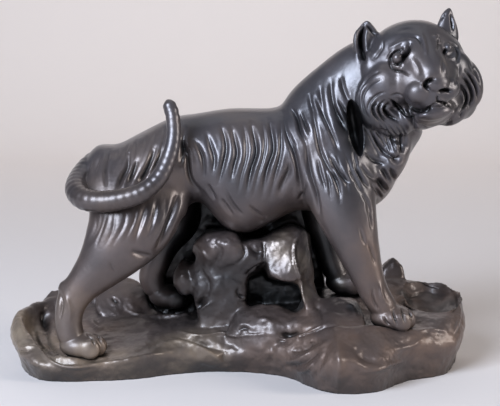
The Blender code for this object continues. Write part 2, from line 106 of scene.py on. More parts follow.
# The boulders of the crag. Each corner is where the photograph shows it, across and down in pixels, and how
# far back it lies.
CRAG = [
    # the boulder at the upper left
    [
        (190, 251, -2), (196, 241, -5), (205, 232, -7), (221, 229, -7), (236, 232, -9), (243, 243, -15),
        (242, 256, -16), (234, 264, -15), (221, 268, -13), (205, 262, -10), (197, 257, -6), (214, 246, -15),
        (230, 245, -18), (192, 250, 20), (206, 228, 24), (240, 228, 24), (246, 256, 22), (207, 262, 20),
    ],
    # the hollow beside it
    [
        (243, 243, -13), (251, 239, -9), (262, 238, -10), (264, 262, -15), (258, 268, -13), (246, 277, -11),
        (236, 268, -13), (243, 256, -17), (252, 256, -15), (240, 238, 20), (266, 238, 20), (266, 270, 20),
        (240, 278, 20),
    ],
    # the pale block with its sloping top
    [
        (261, 237, -5), (275, 230, -2), (290, 225, -1), (303, 229, -6), (263, 247, -10), (270, 241, -12),
        (285, 240, -13), (293, 249, -14), (266, 262, -15), (269, 275, -19), (283, 281, -21), (297, 283, -21),
        (299, 275, -22), (295, 262, -19), (309, 240, -4), (312, 262, -4), (312, 286, -4), (262, 238, 22),
        (290, 224, 24), (310, 234, 22), (312, 286, 22), (266, 278, 22),
    ],
    # its foot at the right
    [
        (297, 280, -18), (301, 292, -20), (303, 302, -22), (309, 317, -26), (321, 320, -24), (322, 305, -15),
        (316, 292, -8), (311, 280, -4), (300, 284, 16), (320, 300, 16), (312, 318, 12),
    ],
    # the lower left
    [
        (197, 257, -5), (206, 264, -9), (222, 268, -11), (238, 267, -12), (247, 276, -10), (246, 288, -9),
        (240, 297, -7), (246, 307, -6), (236, 318, -10), (208, 318, -9), (198, 303, -6), (193, 286, -4),
        (246, 335, -8), (200, 335, -8),
        (190, 268, -2), (218, 286, -11), (193, 262, 20), (246, 268, 20), (246, 306, 20), (195, 300, 18),
    ],
    # the back of the cave
    [
        (240, 262, 17), (302, 262, 17), (240, 310, 17), (304, 310, 17), (240, 262, 26), (302, 262, 26),
        (240, 310, 26), (304, 310, 26),
    ],
    # the arch of ground before it
    [
        (238, 312, -14), (250, 306, -10), (262, 303, -9), (276, 303, -9), (290, 309, -14), (300, 320, -24),
        (284, 326, -28), (262, 326, -26), (242, 323, -22), (300, 345, -26), (262, 352, -30), (218, 350, -16),
        (240, 312, 14), (300, 312, 14),
    ],
    # the mound seen between the hind legs
    [
        (96, 296, 30), (104, 287, 36), (114, 279, 42), (128, 276, 44), (138, 279, 42), (147, 291, 34),
        (153, 309, 24), (138, 316, 18), (110, 317, 18), (96, 316, 18), (126, 296, 26), (100, 300, 56),
        (125, 280, 56), (150, 300, 52),
    ],
    # the tall boulder between the crag and the far hind leg
    [
        (184, 256, 4), (178, 262, 2), (174, 273, 0), (174, 284, -1), (178, 292, -2), (185, 296, -3),
        (191, 293, -3), (194, 284, -2), (194, 272, 0), (191, 261, 3), (182, 276, -5), (187, 286, -5),
        (184, 256, 22), (175, 280, 22), (194, 280, 22), (182, 296, 22),
    ],
    # the mound between the crag and the near foreleg
    [
        (300, 313, -22), (312, 301, -12), (330, 297, -11), (346, 298, -13), (356, 302, -18),
        (364, 314, -28), (366, 325, -38), (340, 328, -44), (306, 328, -36), (290, 322, -28),
        (290, 345, -28), (306, 350, -36), (340, 350, -46), (366, 345, -40), (330, 306, -24), (300, 300, 12),
        (358, 300, 12),
    ],
]

# The rocks behind the crag and along the back edge: each corner's x, y and height above GROUND_HEIGHT
BACK_ROCKS = [
    # the leaning wall behind the crag
    [
        (-60, 38, 11), (-57, 36, 41), (-46, 30, 70), (-38, 24, 90), (-24, 22, 98), (20, 20, 84),
        (40, 20, 88), (54, 28, 61), (60, 36, 15), (-60, 48, 11), (-54, 46, 45), (-36, 42, 69), (36, 40, 71),
        (56, 46, 39), (62, 46, 15),
    ],
    # the boulders on the wall's far side
    [
        (-40, 40, 12), (-44, 48, 30), (-30, 52, 20), (-26, 50, 44), (-12, 48, 56), (-4, 54, 30),
        (2, 56, 14), (-20, 57, 12), (-36, 42, 52), (-8, 40, 60), (4, 42, 20),
    ],
    [
        (-4, 42, 60), (10, 47, 66), (24, 50, 52), (34, 48, 60), (30, 54, 34), (12, 55, 40), (4, 52, 52),
        (20, 40, 70), (36, 42, 44), (6, 42, 36),
    ],
    [
        (22, 56, 16), (40, 57, 16), (54, 54, 18), (58, 48, 26), (46, 52, 38), (30, 56, 30), (20, 50, 26),
        (40, 42, 42), (60, 42, 16), (18, 44, 14),
    ],
    # the ground under the crag
    [
        (-34, -4, 0), (20, -8, 0), (46, -8, 2), (58, -2, 10), (-38, 4, 5), (-20, 0, 8), (30, -4, 8),
        (-30, 34, 7), (80, 16, 14), (80, 36, 15), (2, -4, 9), (48, 30, 17),
    ],
    # the spire by the right end, and the low rocks beside it
    [
        (94, 34, 17), (118, 34, 17), (112, 52, 17), (95, 48, 17), (99, 38, 36), (108, 38, 43),
        (104, 46, 42), (113, 36, 36), (114, 42, 28), (98, 46, 34), (110, 46, 38),
    ],
    [
        (62, 34, 17), (120, 36, 19), (116, 54, 17), (66, 56, 15), (92, 36, 29), (84, 48, 27), (112, 48, 29),
        (118, 30, 27), (112, 18, 21),
    ],
    [(110, 20, 15), (144, 12, 17), (146, 30, 19), (128, 46, 17), (137, 26, 27), (124, 30, 26), (140, 16, 23)],
    # the low rocks at the left end
    [
        (-142, 26, 7), (-110, 30, 7), (-112, 54, 5), (-134, 46, 5), (-130, 40, 20), (-122, 42, 20),
        (-116, 40, 14),
    ],
    [(-112, 34, 5), (-60, 38, 5), (-62, 58, 3), (-108, 54, 5), (-100, 46, 17), (-76, 48, 13)],
]

SLAB_VOXEL = 1.7
SLAB_PASSES = 26
CRAG_VOXEL = 1.3
CRAG_PASSES = 12
ROCK_VOXEL = 0.95
ROCK_PASSES = 9
ROCK_TRIANGLES = 190000
ROUGHNESS_SIZE = 0.045
ROUGHNESS_HEIGHT = 1.3

# Beside each pressed stroke a lip is raised, by this share of its depth
LIP_SHARE = 0.12

# The photograph's viewpoint, for what is carved as the camera sees it
EYE = Vector((8.0, -800.0, 215.0))
LOOKED_AT = Vector((8.0, 0.0, 108.0))
FOCAL_PIXELS = 1240.0
PICTURE = (500, 406)

# Each curve is cut into this many steps between two of its points
CURVE_STEPS = 4

# How far below the floor the slab starts, and where the points of its top lie on the way in to ROCK_AXIS
SLAB_BELOW = 11.0
TOP_SHARES = (0.0, 0.35, 0.7, 0.92)


def ground_at(x, y):
    """Height of the rock's top, which rises along the tiger and towards its far side."""
    return GROUND_HEIGHT + GROUND_RISE_ALONG * x + GROUND_RISE_BACK * (y - NEAR_PAW_Y)


def boulder(shape, corners):
    """Adds a block of rock: the flat faces that hold its corners."""
    wrapped = bmesh.ops.convex_hull(shape, input=[shape.verts.new(corner) for corner in corners])
    spare = [piece for piece in wrapped["geom_interior"] if isinstance(piece, bmesh.types.BMVert)]
    bmesh.ops.delete(shape, geom=spare, context="VERTS")


def from_picture(across, down, back):
    """The point that the photograph shows at these pixels, so far back from the middle line of the trunk."""
    ahead = (LOOKED_AT - EYE).normalized()
    over = Vector((1, 0, 0)).cross(ahead)
    ray = ahead + Vector((1, 0, 0)) * (across - PICTURE[0] / 2) / FOCAL_PIXELS
    ray -= over * (down - PICTURE[1] / 2) / FOCAL_PIXELS
    return EYE + ray * (back - EYE.y) / ray.y


def add_slab(shape):
    """The slab of rock: undercut below its widest line, with a rim round a sloping top."""
    columns = []
    closed = smooth_line(ROCK_OUTLINE[-2:] + ROCK_OUTLINE + ROCK_OUTLINE[:3])
    for x, y, inset, height, belt in closed[2 * CURVE_STEPS:-3 * CURVE_STEPS]:
        axis = Vector((min(max(x, ROCK_AXIS[0]), ROCK_AXIS[1]), ROCK_AXIS[2], 0))
        edge = Vector((x, y, 0))
        inwards = (axis - edge).normalized()
        reach = (axis - edge).length
        rim = edge + inwards * inset + Vector((0, 0, GROUND_HEIGHT + height))
        column = [
            edge + inwards * UNDERCUT - Vector((0, 0, SLAB_BELOW)),
            edge + inwards * UNDERCUT,
            edge + Vector((0, 0, belt)),
            rim,
            rim + inwards * RIM_LIP / 2,
        ]
        for share in TOP_SHARES:
            flat = edge + inwards * (inset + RIM_LIP + (reach - inset - RIM_LIP) * share)
            flat.z = ground_at(flat.x, flat.y)
            column.append(flat)
        columns.append([shape.verts.new(point) for point in column])
    for column, following in zip(columns, columns[1:] + columns[:1]):
        for row in range(len(column) - 1):
            shape.faces.new((column[row], following[row], following[row + 1], column[row + 1]))
    shape.faces.new([column[0] for column in reversed(columns)])
    shape.faces.new([column[-1] for column in columns])


def fused(shape, voxel, passes):
    """The lumps melted into one skin, as clay is: a fine voxel mesh whose creases are filled by each pass."""
    bmesh.ops.recalc_face_normals(shape, faces=shape.faces)
    mesh = bpy.data.meshes.new("clay")
    shape.to_mesh(mesh)
    shape.free()
    clay = bpy.data.objects.new("clay", mesh)
    bpy.context.scene.collection.objects.link(clay)
    melt = clay.modifiers.new("melt", "REMESH")
    melt.mode = "VOXEL"
    melt.voxel_size = voxel
    melt.adaptivity = 0.0
    fill = clay.modifiers.new("fill", "SMOOTH")
    fill.factor = 0.5
    fill.iterations = passes
    skin = bpy.data.meshes.new_from_object(clay.evaluated_get(bpy.context.evaluated_depsgraph_get()))
    bpy.data.objects.remove(clay)
    return skin


def read_skin(skin):
    """The places and the normals of a mesh's vertices."""
    count = len(skin.vertices)
    coords = np.empty(count * 3)
    normals = np.empty(count * 3)
    skin.vertices.foreach_get("co", coords)
    skin.vertices.foreach_get("normal", normals)
    return coords.reshape(-1, 3), normals.reshape(-1, 3)


def in_picture(coords, normals):
    """Where the photograph shows each point, and how squarely the skin there faces the camera."""
    ahead = (LOOKED_AT - EYE).normalized()
    over = Vector((1, 0, 0)).cross(ahead)
    seen = coords - np.array(EYE)
    depth = seen @ np.array(ahead)
    flat = np.column_stack((
        PICTURE[0] / 2 + FOCAL_PIXELS * seen[:, 0] / depth,
        PICTURE[1] / 2 - FOCAL_PIXELS * (seen @ np.array(over)) / depth,
    ))
    facing = -(normals * seen).sum(1) / np.linalg.norm(seen, axis=1)
    return flat, facing


def smooth_line(points, steps=CURVE_STEPS):
    """More points on a smooth curve through the given rows of numbers."""
    rows = np.array(points, float)
    padded = np.vstack([2 * rows[0] - rows[1], rows, 2 * rows[-1] - rows[-2]])
    found = []
    for before, start, end, after in zip(padded, padded[1:], padded[2:], padded[3:]):
        for step in range(steps):
            t = step / steps
            bend = (2 * before - 5 * start + 4 * end - after) * t * t
            twist = (3 * start - before - 3 * end + after) * t * t * t
            found.append((2 * start + (end - before) * t + bend + twist) / 2)
    found.append(rows[-1])
    return np.array(found)


def pressed(flat, weight, strokes):
    """How deep the strokes go at each point. A stroke has points, a half width and a depth, and tapers."""
    depth_at = np.zeros(len(flat))
    for points, half_width, depth in strokes:
        line = smooth_line(points)
        low = line.min(0) - 2.1 * half_width
        high = line.max(0) + 2.1 * half_width
        near = np.flatnonzero(
            (flat[:, 0] > low[0]) & (flat[:, 0] < high[0]) & (flat[:, 1] > low[1]) & (flat[:, 1] < high[1])
            & (weight > 0)
        )
        if not len(near):
            continue
        spots = flat[near]
        nearest = np.full(len(near), 1e9)
        along = np.zeros(len(near))
        for index in range(len(line) - 1):
            run = line[index + 1] - line[index]
            share = np.clip(((spots - line[index]) @ run) / max(run @ run, 1e-9), 0, 1)
            gap = spots - line[index] - share[:, None] * run
            gap = np.hypot(gap[:, 0], gap[:, 1])
            closer = gap < nearest
            nearest[closer] = gap[closer]
            along[closer] = (index + share[closer]) / (len(line) - 1)
        taper = np.sin(math.pi * np.clip(along, 0.02, 0.98)) ** 0.7
        bite = 0.7 * np.clip(1 - (nearest / half_width) ** 2, 0, 1) ** 2
        bite += 0.45 * np.clip(1 - (nearest / (0.5 * half_width)) ** 2, 0, 1) ** 2
        bite -= LIP_SHARE * np.clip(1 - ((nearest / half_width - 1.2) / 0.9) ** 2, 0, 1) ** 2
        bite *= depth * taper
        depth_at[near] += bite
    return depth_at * weight


def carve(skin, strokes, view, kept=None):
    """Presses the strokes into the skin, as view(places, normals) sees it, where kept(places) says so."""
    coords, normals = read_skin(skin)
    flat, facing = view(coords, normals)
    weight = np.clip(2.5 * facing, 0, 1)
    if kept is not None:
        weight = weight * kept(coords)
    moved = coords - normals * pressed(flat, weight, strokes)[:, None]
    skin.vertices.foreach_set("co", moved.ravel())
    skin.update()


def combed(first, last, count, half_width, depth, wander=0.0):
    """Strokes side by side, from the first line to the last, as a comb leaves them."""
    start = smooth_line(first)
    end = smooth_line(last)
    spots = np.linspace(0, 1, 7)
    ends = []
    for line in (start, end):
        at = np.linspace(0, 1, len(line))
        ends.append(np.column_stack((np.interp(spots, at, line[:, 0]), np.interp(spots, at, line[:, 1]))))
    found = []
    for index in range(count):
        share = index / max(count - 1, 1)
        line = ends[0] * (1 - share) + ends[1] * share
        sway = wander * np.sin(index * 2.1 + spots * 5.0)
        swayed = line + sway[:, None] * np.array((1.0, 0.35))
        found.append((swayed, half_width, depth * (1 + 0.25 * math.sin(index * 1.7))))
    return found


def thinned(piece, most):
    """Merges the flatter faces, so that the triangles go where the carving is."""
    thin = piece.modifiers.new("thin", "DECIMATE")
    thin.ratio = min(1.0, most / sum(len(face.vertices) - 2 for face in piece.data.polygons))
    thin.use_collapse_triangulate = True
    coarse = bpy.data.meshes.new_from_object(piece.evaluated_get(bpy.context.evaluated_depsgraph_get()))
    piece.modifiers.clear()
    piece.data = coarse


def cast(name, skin, most, material):
    """The finished piece: thinned, put where the part lies, in metres, and given its material."""
    piece = bpy.data.objects.new(name, skin)
    bpy.context.scene.collection.objects.link(piece)
    thinned(piece, most)
    piece.data.transform(Matrix.Diagonal((MM, MM, MM, 1.0)) @ Matrix.Translation(PLACE))
    piece.data.materials.clear()
    piece.data.materials.append(material)
    piece.data.shade_smooth()
    return piece


# Where the metal is rubbed bright, with painted light in some of these spots, and where painted shade
# blackens the
# recesses: pixels across and down, how far back, reach and strength
RUBBED_AND_PAINTED_LIGHT_SPOTS = [
    # the paler block of the crag, the rubbed rim and toes of the near hind paw, and the near forepaw
    (281, 248, -10, 15, 0.50),
    (298, 262, -14, 12, 0.50),
    (303, 290, -20, 11, 0.45),
    (60, 354, -40, 13, 0.55),
    (84, 356, -46, 14, 0.50),
    (98, 342, -36, 9, 0.40),
    (404, 320, -34, 9, 0.30),
    # a painted highlight on the far forepaw's ankle
    (337, 283, 20, 9, 0.45),
    # the brass rubbed bare under the other eye
    (450, 60, -45, 6, 0.40),
    # painted light on a lit patch of ground between the hind legs
    (128, 302, 5, 14, 0.35),
    # broad painted light on the left end and the front of the base
    (24, 330, -14, 36, 0.70),
    (60, 374, -40, 34, 0.35),
    (120, 368, -50, 36, 0.45),
    (190, 358, -36, 40, 0.50),
    (70, 315, -32, 26, 0.20),
]
PAINTED_SHADE_SPOTS = [
    # painted shade: under the belly, behind the far legs, in the cave, the wall's gaps and the bowl, behind
    # the ruff, under the tail and by the paws
    (186, 242, 24, 26, 0.97),
    (204, 222, 22, 22, 0.97),
    (236, 232, 20, 20, 0.97),
    (180, 296, 6, 18, 0.92),
    (272, 288, 16, 26, 0.97),
    (317, 250, 8, 12, 0.90),
    (320, 284, 6, 12, 0.85),
    (212, 288, -8, 36, 0.72),
    (112, 208, -50, 24, 0.40),
    (146, 200, -50, 18, 0.40),
    (82, 200, -40, 18, 0.30),
    (252, 266, -14, 18, 0.55),
    (186, 272, 0, 14, 0.40),
    (316, 250, 18, 22, 0.95),
    (318, 276, 20, 22, 0.95),
    (404, 300, 20, 10, 0.85),
    (446, 304, 10, 15, 0.70),
    (425, 300, 14, 14, 0.45),
    (355, 122, -30, 16, 0.96),
    (358, 140, -32, 12, 0.90),
    (356, 306, -24, 9, 0.80),
    (42, 322, 0, 10, 0.80),
    (300, 262, 18, 24, 0.90),
]


# Colours of the metal, each list from the dark to the light parts of its cloud. The patina's warmer brown
# below and bluer grey above are painted light.
PATINA_PAINTED_WARM_BELOW = [(0.35, (0.062, 0.049, 0.046)), (0.52, (0.098, 0.072, 0.064)), (0.68, (0.145, 0.096, 0.074))]
PATINA_PAINTED_COOL_ABOVE = [(0.35, (0.052, 0.049, 0.055)), (0.52, (0.080, 0.070, 0.075)), (0.68, (0.115, 0.092, 0.086))]
WORN_EDGE = [(0.40, (0.13, 0.10, 0.08)), (0.70, (0.34, 0.24, 0.12))]
RUBBED_METAL_AND_PAINTED_LIGHT = [(0.35, (0.15, 0.115, 0.09)), (0.70, (0.40, 0.31, 0.22))]
PAINTED_SHADE_BLACK = (0.004, 0.004, 0.005, 1)
PAINTED_SHADE_REACH = 0.034

# The colour sockets of Blender's Mix node, which share their names with its other sockets
MIX_FIRST = 6
MIX_SECOND = 7
MIX_RESULT = 2


def bronze():
    """Dark patina, lighter where worn; painted light: bluer above, browner below, pale spots; painted shade:
    black in the hollows.
    """
    material = bpy.data.materials.new("patinated_bronze")
    material.use_nodes = True
    nodes = material.node_tree.nodes
    link = material.node_tree.links.new
    paint = nodes["Principled BSDF"]
    paint.inputs["Metallic"].default_value = 0.55
    paint.inputs["IOR"].default_value = 1.5
    paint.inputs["Coat Weight"].default_value = 0.5
    paint.inputs["Coat Roughness"].default_value = 0.28
    where = nodes.new("ShaderNodeTexCoord")

    def cloud(scale, detail):
        """Cloudy grey."""
        made = nodes.new("ShaderNodeTexNoise")
        made.inputs["Scale"].default_value = scale
        made.inputs["Detail"].default_value = detail
        link(where.outputs["Object"], made.inputs["Vector"])
        return made.outputs["Fac"]

    def ramp(value, stops):
        """The value turned into colours."""
        made = nodes.new("ShaderNodeValToRGB")
        ends = made.color_ramp.elements
        for end, (position, colour) in ((ends[0], stops[0]), (ends[1], stops[-1])):
            end.position = position
            end.color = (*colour, 1)
        for position, colour in stops[1:-1]:
            ends.new(position).color = (*colour, 1)
        link(value, made.inputs["Fac"])
        return made.outputs["Color"]

    def ranged(value, low, high, at_low, at_high, curve="LINEAR"):
        """The value carried from one range into another."""
        made = nodes.new("ShaderNodeMapRange")
        made.interpolation_type = curve
        made.inputs["From Min"].default_value = low
        made.inputs["From Max"].default_value = high
        made.inputs["To Min"].default_value = at_low
        made.inputs["To Max"].default_value = at_high
        link(value, made.inputs["Value"])
        return made.outputs["Result"]

    def sum_or_most(operation, first, second):
        """Two values added, or the greater of them."""
        made = nodes.new("ShaderNodeMath")
        made.operation = operation
        link(first, made.inputs[0])
        link(second, made.inputs[1])
        return made.outputs["Value"]

    def mixed(share, below, above):
        """The second colour laid over the first by a share."""
        made = nodes.new("ShaderNodeMix")
        made.data_type = "RGBA"
        link(share, made.inputs["Factor"])
        link(below, made.inputs[MIX_FIRST])
        link(above, made.inputs[MIX_SECOND])
        return made.outputs[MIX_RESULT]

    def darkened(colour, grey):
        """The colour multiplied by a grey."""
        made = nodes.new("ShaderNodeMix")
        made.data_type = "RGBA"
        made.blend_type = "MULTIPLY"
        made.inputs["Factor"].default_value = 1.0
        link(colour, made.inputs[MIX_FIRST])
        link(grey, made.inputs[MIX_SECOND])
        return made.outputs[MIX_RESULT]

    def spots(places):
        """Soft round spots on the metal, the strongest one where they meet."""
        most = None
        for across, down, back, reach, strength in places:
            away = nodes.new("ShaderNodeVectorMath")
            away.operation = "DISTANCE"
            link(where.outputs["Object"], away.inputs[0])
            away.inputs[1].default_value = (from_picture(across, down, back) + PLACE) * MM
            found = ranged(away.outputs["Value"], 0.4 * reach * MM, reach * MM, strength, 0.0, "SMOOTHSTEP")
            most = found if most is None else sum_or_most("MAXIMUM", most, found)
        return most

    height = nodes.new("ShaderNodeSeparateXYZ")
    link(where.outputs["Object"], height.inputs["Vector"])
    mottle = cloud(22.0, 4.0)
    # Painted light: the patina goes from a warmer brown below to a bluer grey above, as the light falls on it
    above = ranged(height.outputs["Z"], 0.06, 0.15, 0.0, 1.0)
    patina_and_painted_light = mixed(above, ramp(mottle, PATINA_PAINTED_WARM_BELOW), ramp(mottle, PATINA_PAINTED_COOL_ABOVE))

    shape = nodes.new("ShaderNodeNewGeometry")
    edges = ramp(shape.outputs["Pointiness"], [(0.54, (0, 0, 0)), (0.70, (0.25, 0.25, 0.25))])
    # Painted shade: the colour is darkened where the skin is hollow, in grooves and creases
    crease_shade = ramp(shape.outputs["Pointiness"], [(0.38, (0.08, 0.08, 0.08)), (0.49, (1, 1, 1))])
    metal_colour = darkened(mixed(edges, patina_and_painted_light, ramp(cloud(60.0, 2.0), WORN_EDGE)), crease_shade)
    # Rubbed metal on the paws, rims and brow, and painted light in the broader spots
    metal_colour = mixed(spots(RUBBED_AND_PAINTED_LIGHT_SPOTS), metal_colour, ramp(cloud(50.0, 3.0), RUBBED_METAL_AND_PAINTED_LIGHT))

    # Painted shade: black in the listed recesses
    shade_black = nodes.new("ShaderNodeRGB")
    shade_black.outputs[0].default_value = PAINTED_SHADE_BLACK
    # Painted shade: darker wherever the skin is closed in by nearby parts
    occlusion_shade = nodes.new("ShaderNodeAmbientOcclusion")
    occlusion_shade.samples = 6
    occlusion_shade.inputs["Distance"].default_value = PAINTED_SHADE_REACH
    occlusion_darkening = ramp(occlusion_shade.outputs["AO"], [(0.16, (0.02, 0.02, 0.02)), (0.66, (1, 1, 1))])
    metal_colour = darkened(mixed(spots(PAINTED_SHADE_SPOTS), metal_colour, shade_black.outputs[0]), occlusion_darkening)
    link(metal_colour, paint.inputs["Base Color"])

    sheen = ranged(cloud(45.0, 3.0), 0.3, 0.7, 0.30, 0.46)
    duller_low_down = ranged(height.outputs["Z"], 0.03, 0.08, 0.12, 0.0)
    link(sum_or_most("ADD", sheen, duller_low_down), paint.inputs["Roughness"])
    bump = nodes.new("ShaderNodeBump")
    bump.inputs["Strength"].default_value = 0.35
    bump.inputs["Distance"].default_value = 0.0004
    link(cloud(420.0, 3.0), bump.inputs["Height"])
    link(bump.outputs["Normal"], paint.inputs["Normal"])
    return material


def weathered(skin):
    """Gives the rock an uneven skin."""
    coords, normals = read_skin(skin)
    swell = np.array([noise.fractal(Vector(place) * ROUGHNESS_SIZE, 0.8, 2.1, 5) for place in coords])
    moved = coords + normals * (swell * ROUGHNESS_HEIGHT)[:, None]
    skin.vertices.foreach_set("co", moved.ravel())
    skin.update()


def dent(skin, centre, radii, turn=(0, 0, 0), frame_of=None):
    """Hollows the skin: what lies inside the ellipsoid is pushed out to its surface."""
    spin = Euler([math.radians(a) for a in turn]).to_matrix().to_4x4()
    place = Matrix.Translation(Vector(centre)) @ spin @ Matrix.Diagonal((*radii, 1.0))
    if frame_of is not None:
        place = frame_of @ place
    back = np.array(place.inverted())
    there = np.array(place)
    coords, _ = read_skin(skin)
    local = coords @ back[:3, :3].T + back[:3, 3]
    reach = np.linalg.norm(local, axis=1)
    inside = (reach < 1) & (reach > 1e-6)
    local[inside] /= reach[inside][:, None]
    coords[inside] = local[inside] @ there[:3, :3].T + there[:3, 3]
    skin.vertices.foreach_set("co", coords.ravel())
    skin.update()


def cut_foot(skin):
    """Cuts the foot of the rock level."""
    shape = bmesh.new()
    shape.from_mesh(skin)
    every = shape.verts[:] + shape.edges[:] + shape.faces[:]
    cut = bmesh.ops.bisect_plane(shape, geom=every, plane_co=(0, 0, 0), plane_no=(0, 0, 1), clear_inner=True)
    edges = [piece for piece in cut["geom_cut"] if isinstance(piece, bmesh.types.BMEdge)]
    bmesh.ops.triangulate(shape, faces=bmesh.ops.holes_fill(shape, edges=edges)["faces"])
    shape.to_mesh(skin)
    shape.free()


# The bowl at the right end: centre, radii
BOWL = ((129, 8, 51), (21, 30, 18))

# Marks on the rock, as the photograph shows them: points in pixels, half width and depth, raised where the
# depth is negative
ROCK_STROKES = [
    # the lip round the near hind paw, the ridge below it and the hollow behind it
    ([(37, 328), (41, 343), (49, 352), (60, 358), (74, 360), (92, 359), (114, 358)], 3.0, -1.8),
    ([(45, 330), (48, 342), (55, 350), (66, 355)], 4.0, 1.6),
    ([(42, 350), (52, 359), (64, 363), (82, 364)], 3.0, 1.4),
    (
        [(18, 349), (30, 346), (38, 348), (43, 354), (50, 360), (62, 366), (80, 367), (98, 364), (118, 358)],
        3.2, -1.2,
    ),
    ([(10, 350), (22, 351), (31, 350)], 4.0, 1.8),
    ([(44, 310), (45, 320), (46, 331)], 7.0, 4.0),
    # the front edge
    ([(156, 348), (170, 343), (182, 342), (196, 346), (210, 353), (222, 361)], 5.0, -2.0),
    ([(176, 338), (194, 341), (210, 346), (226, 351)], 6.0, 2.4),
    ([(225, 350), (224, 359), (227, 367)], 6.0, 1.6),
    (
        [(180, 331), (188, 334), (198, 336), (210, 335), (222, 333), (235, 336), (250, 335), (276, 334)],
        2.4, -1.4,
    ),
    ([(268, 340), (272, 352), (270, 366)], 7.0, 1.0),
    ([(277, 335), (285, 340), (294, 340), (304, 335), (316, 329), (328, 323)], 2.6, -1.5),
    ([(281, 333), (290, 336), (300, 332)], 4.0, 1.8),
    # the hollows and ridges of the bulge
    ([(286, 352), (303, 347), (321, 338)], 10.0, 3.4),
    ([(284, 362), (300, 358), (314, 350), (328, 341)], 5.0, -1.0),
    ([(284, 367), (300, 365), (312, 357), (322, 350)], 5.0, 1.8),
    ([(298, 372), (307, 370), (313, 363)], 2.6, -1.2),
    ([(334, 331), (338, 350), (340, 370), (338, 390)], 9.0, -2.0),
    ([(328, 345), (322, 360), (315, 378)], 5.0, 1.4),
    ([(353, 348), (366, 358), (384, 362)], 9.0, 2.0),
    ([(360, 372), (378, 369), (394, 363), (404, 361)], 5.0, -1.4),
    ([(396, 349), (411, 346), (422, 339)], 4.0, -1.2),
    ([(416, 331), (432, 330), (446, 331)], 3.0, -1.2),
    # the right end
    ([(453, 336), (458, 322), (460, 306)], 2.6, -1.4),
    ([(451, 290), (454, 303), (453, 315)], 5.0, 1.6),
    ([(428, 292), (440, 296), (450, 294)], 6.0, 1.2),
    ([(396, 300), (407, 303), (415, 310)], 5.0, 3.0),
    ([(400, 298), (414, 296), (430, 291)], 2.5, 1.6),
    # the ledge of the ground, and the pit behind it
    ([(150, 296), (158, 306), (176, 310), (196, 307), (206, 296)], 6.0, 5.0),
    ([(128, 310), (140, 315), (160, 317), (188, 315), (203, 307), (215, 301)], 2.6, -1.4),
    ([(90, 318), (95, 326), (106, 330)], 5.0, -1.2),
    ([(112, 298), (118, 303)], 3.0, 2.0),
    # the crag
    ([(243, 243), (245, 254), (238, 264)], 3.0, 1.2),
    ([(250, 246), (256, 252), (262, 250)], 4.0, 1.4),
    ([(246, 275), (256, 269), (265, 264)], 4.0, 2.4),
    ([(262, 240), (264, 250), (264, 262), (268, 274)], 2.2, 1.2),
    ([(304, 229), (297, 238), (294, 250), (296, 264), (300, 278), (303, 294), (307, 312)], 2.0, -1.6),
    ([(208, 238), (220, 250), (216, 262), (208, 270)], 6.0, 1.2),
    ([(196, 246), (204, 254), (210, 262)], 4.0, -0.8),
    ([(238, 288), (238, 295), (244, 298)], 3.0, 2.0),
    ([(236, 292), (240, 299), (248, 298)], 2.0, -1.2),
    ([(200, 270), (208, 284), (206, 298)], 8.0, 1.6),
    ([(250, 330), (244, 328), (238, 331)], 3.5, 1.8),
    ([(256, 320), (264, 319), (272, 322)], 4.0, -1.0),
    ([(312, 306), (320, 310), (322, 322)], 5.0, 1.2),
    ([(346, 302), (354, 308), (356, 318)], 4.0, -1.0),
]

metal = bronze()
slab = bmesh.new()
add_slab(slab)
lumps = bmesh.new()
lumps.from_mesh(fused(slab, SLAB_VOXEL, SLAB_PASSES))
crag = bmesh.new()
for corners in CRAG:
    boulder(crag, [from_picture(*corner) for corner in corners])
for corners in BACK_ROCKS:
    boulder(crag, [(x, y, GROUND_HEIGHT + z) for x, y, z in corners])
lumps.from_mesh(fused(crag, CRAG_VOXEL, CRAG_PASSES))
rock_skin = fused(lumps, ROCK_VOXEL, ROCK_PASSES)
dent(rock_skin, *BOWL)
weathered(rock_skin)
carve(rock_skin, ROCK_STROKES, in_picture)
cut_foot(rock_skin)
rock_base = cast("rock_base", rock_skin, ROCK_TRIANGLES, metal)
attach(rock_base, "root")


# The tiger
# The animal itself, cast in one with the rock: trunk, neck, legs, paws, tail and head. The coat, the stripes
# and the face are cut into the wax. It has the same dark patina, rubbed bright on the near paws and a brow,
# with a painted highlight on the far foreleg and painted shade under the tail and behind the ruff.

# From rump to chest: x, height of the centre above GROUND_HEIGHT, half height, half width
TRUNK = [
    (-99, 100, 14, 15),
    (-90, 98, 25.5, 24),
    (-78, 95, 28.5, 31),
    (-62, 99, 32.5, 33),
    (-42, 106.5, 34.5, 30),
    (-26, 115, 28.5, 28),
    (-8, 107.5, 39, 30),
    (6, 106, 41, 31),
    (22, 109.5, 37.5, 31),
    (38, 116, 36, 32),
    (54, 121, 42, 33),
    (68, 119, 40, 32),
    (80, 112, 30, 26),
]

# From shoulders to skull: x, y, height above GROUND_HEIGHT, half thickness, half width
NECK = [
    (58, 0, 118, 42, 32),
    (69, -1, 131, 44, 29),
    (82, -3, 146.5, 41, 25),
    (95, -8, 160, 37, 23),
    (106, -12, 167, 28, 23),
]

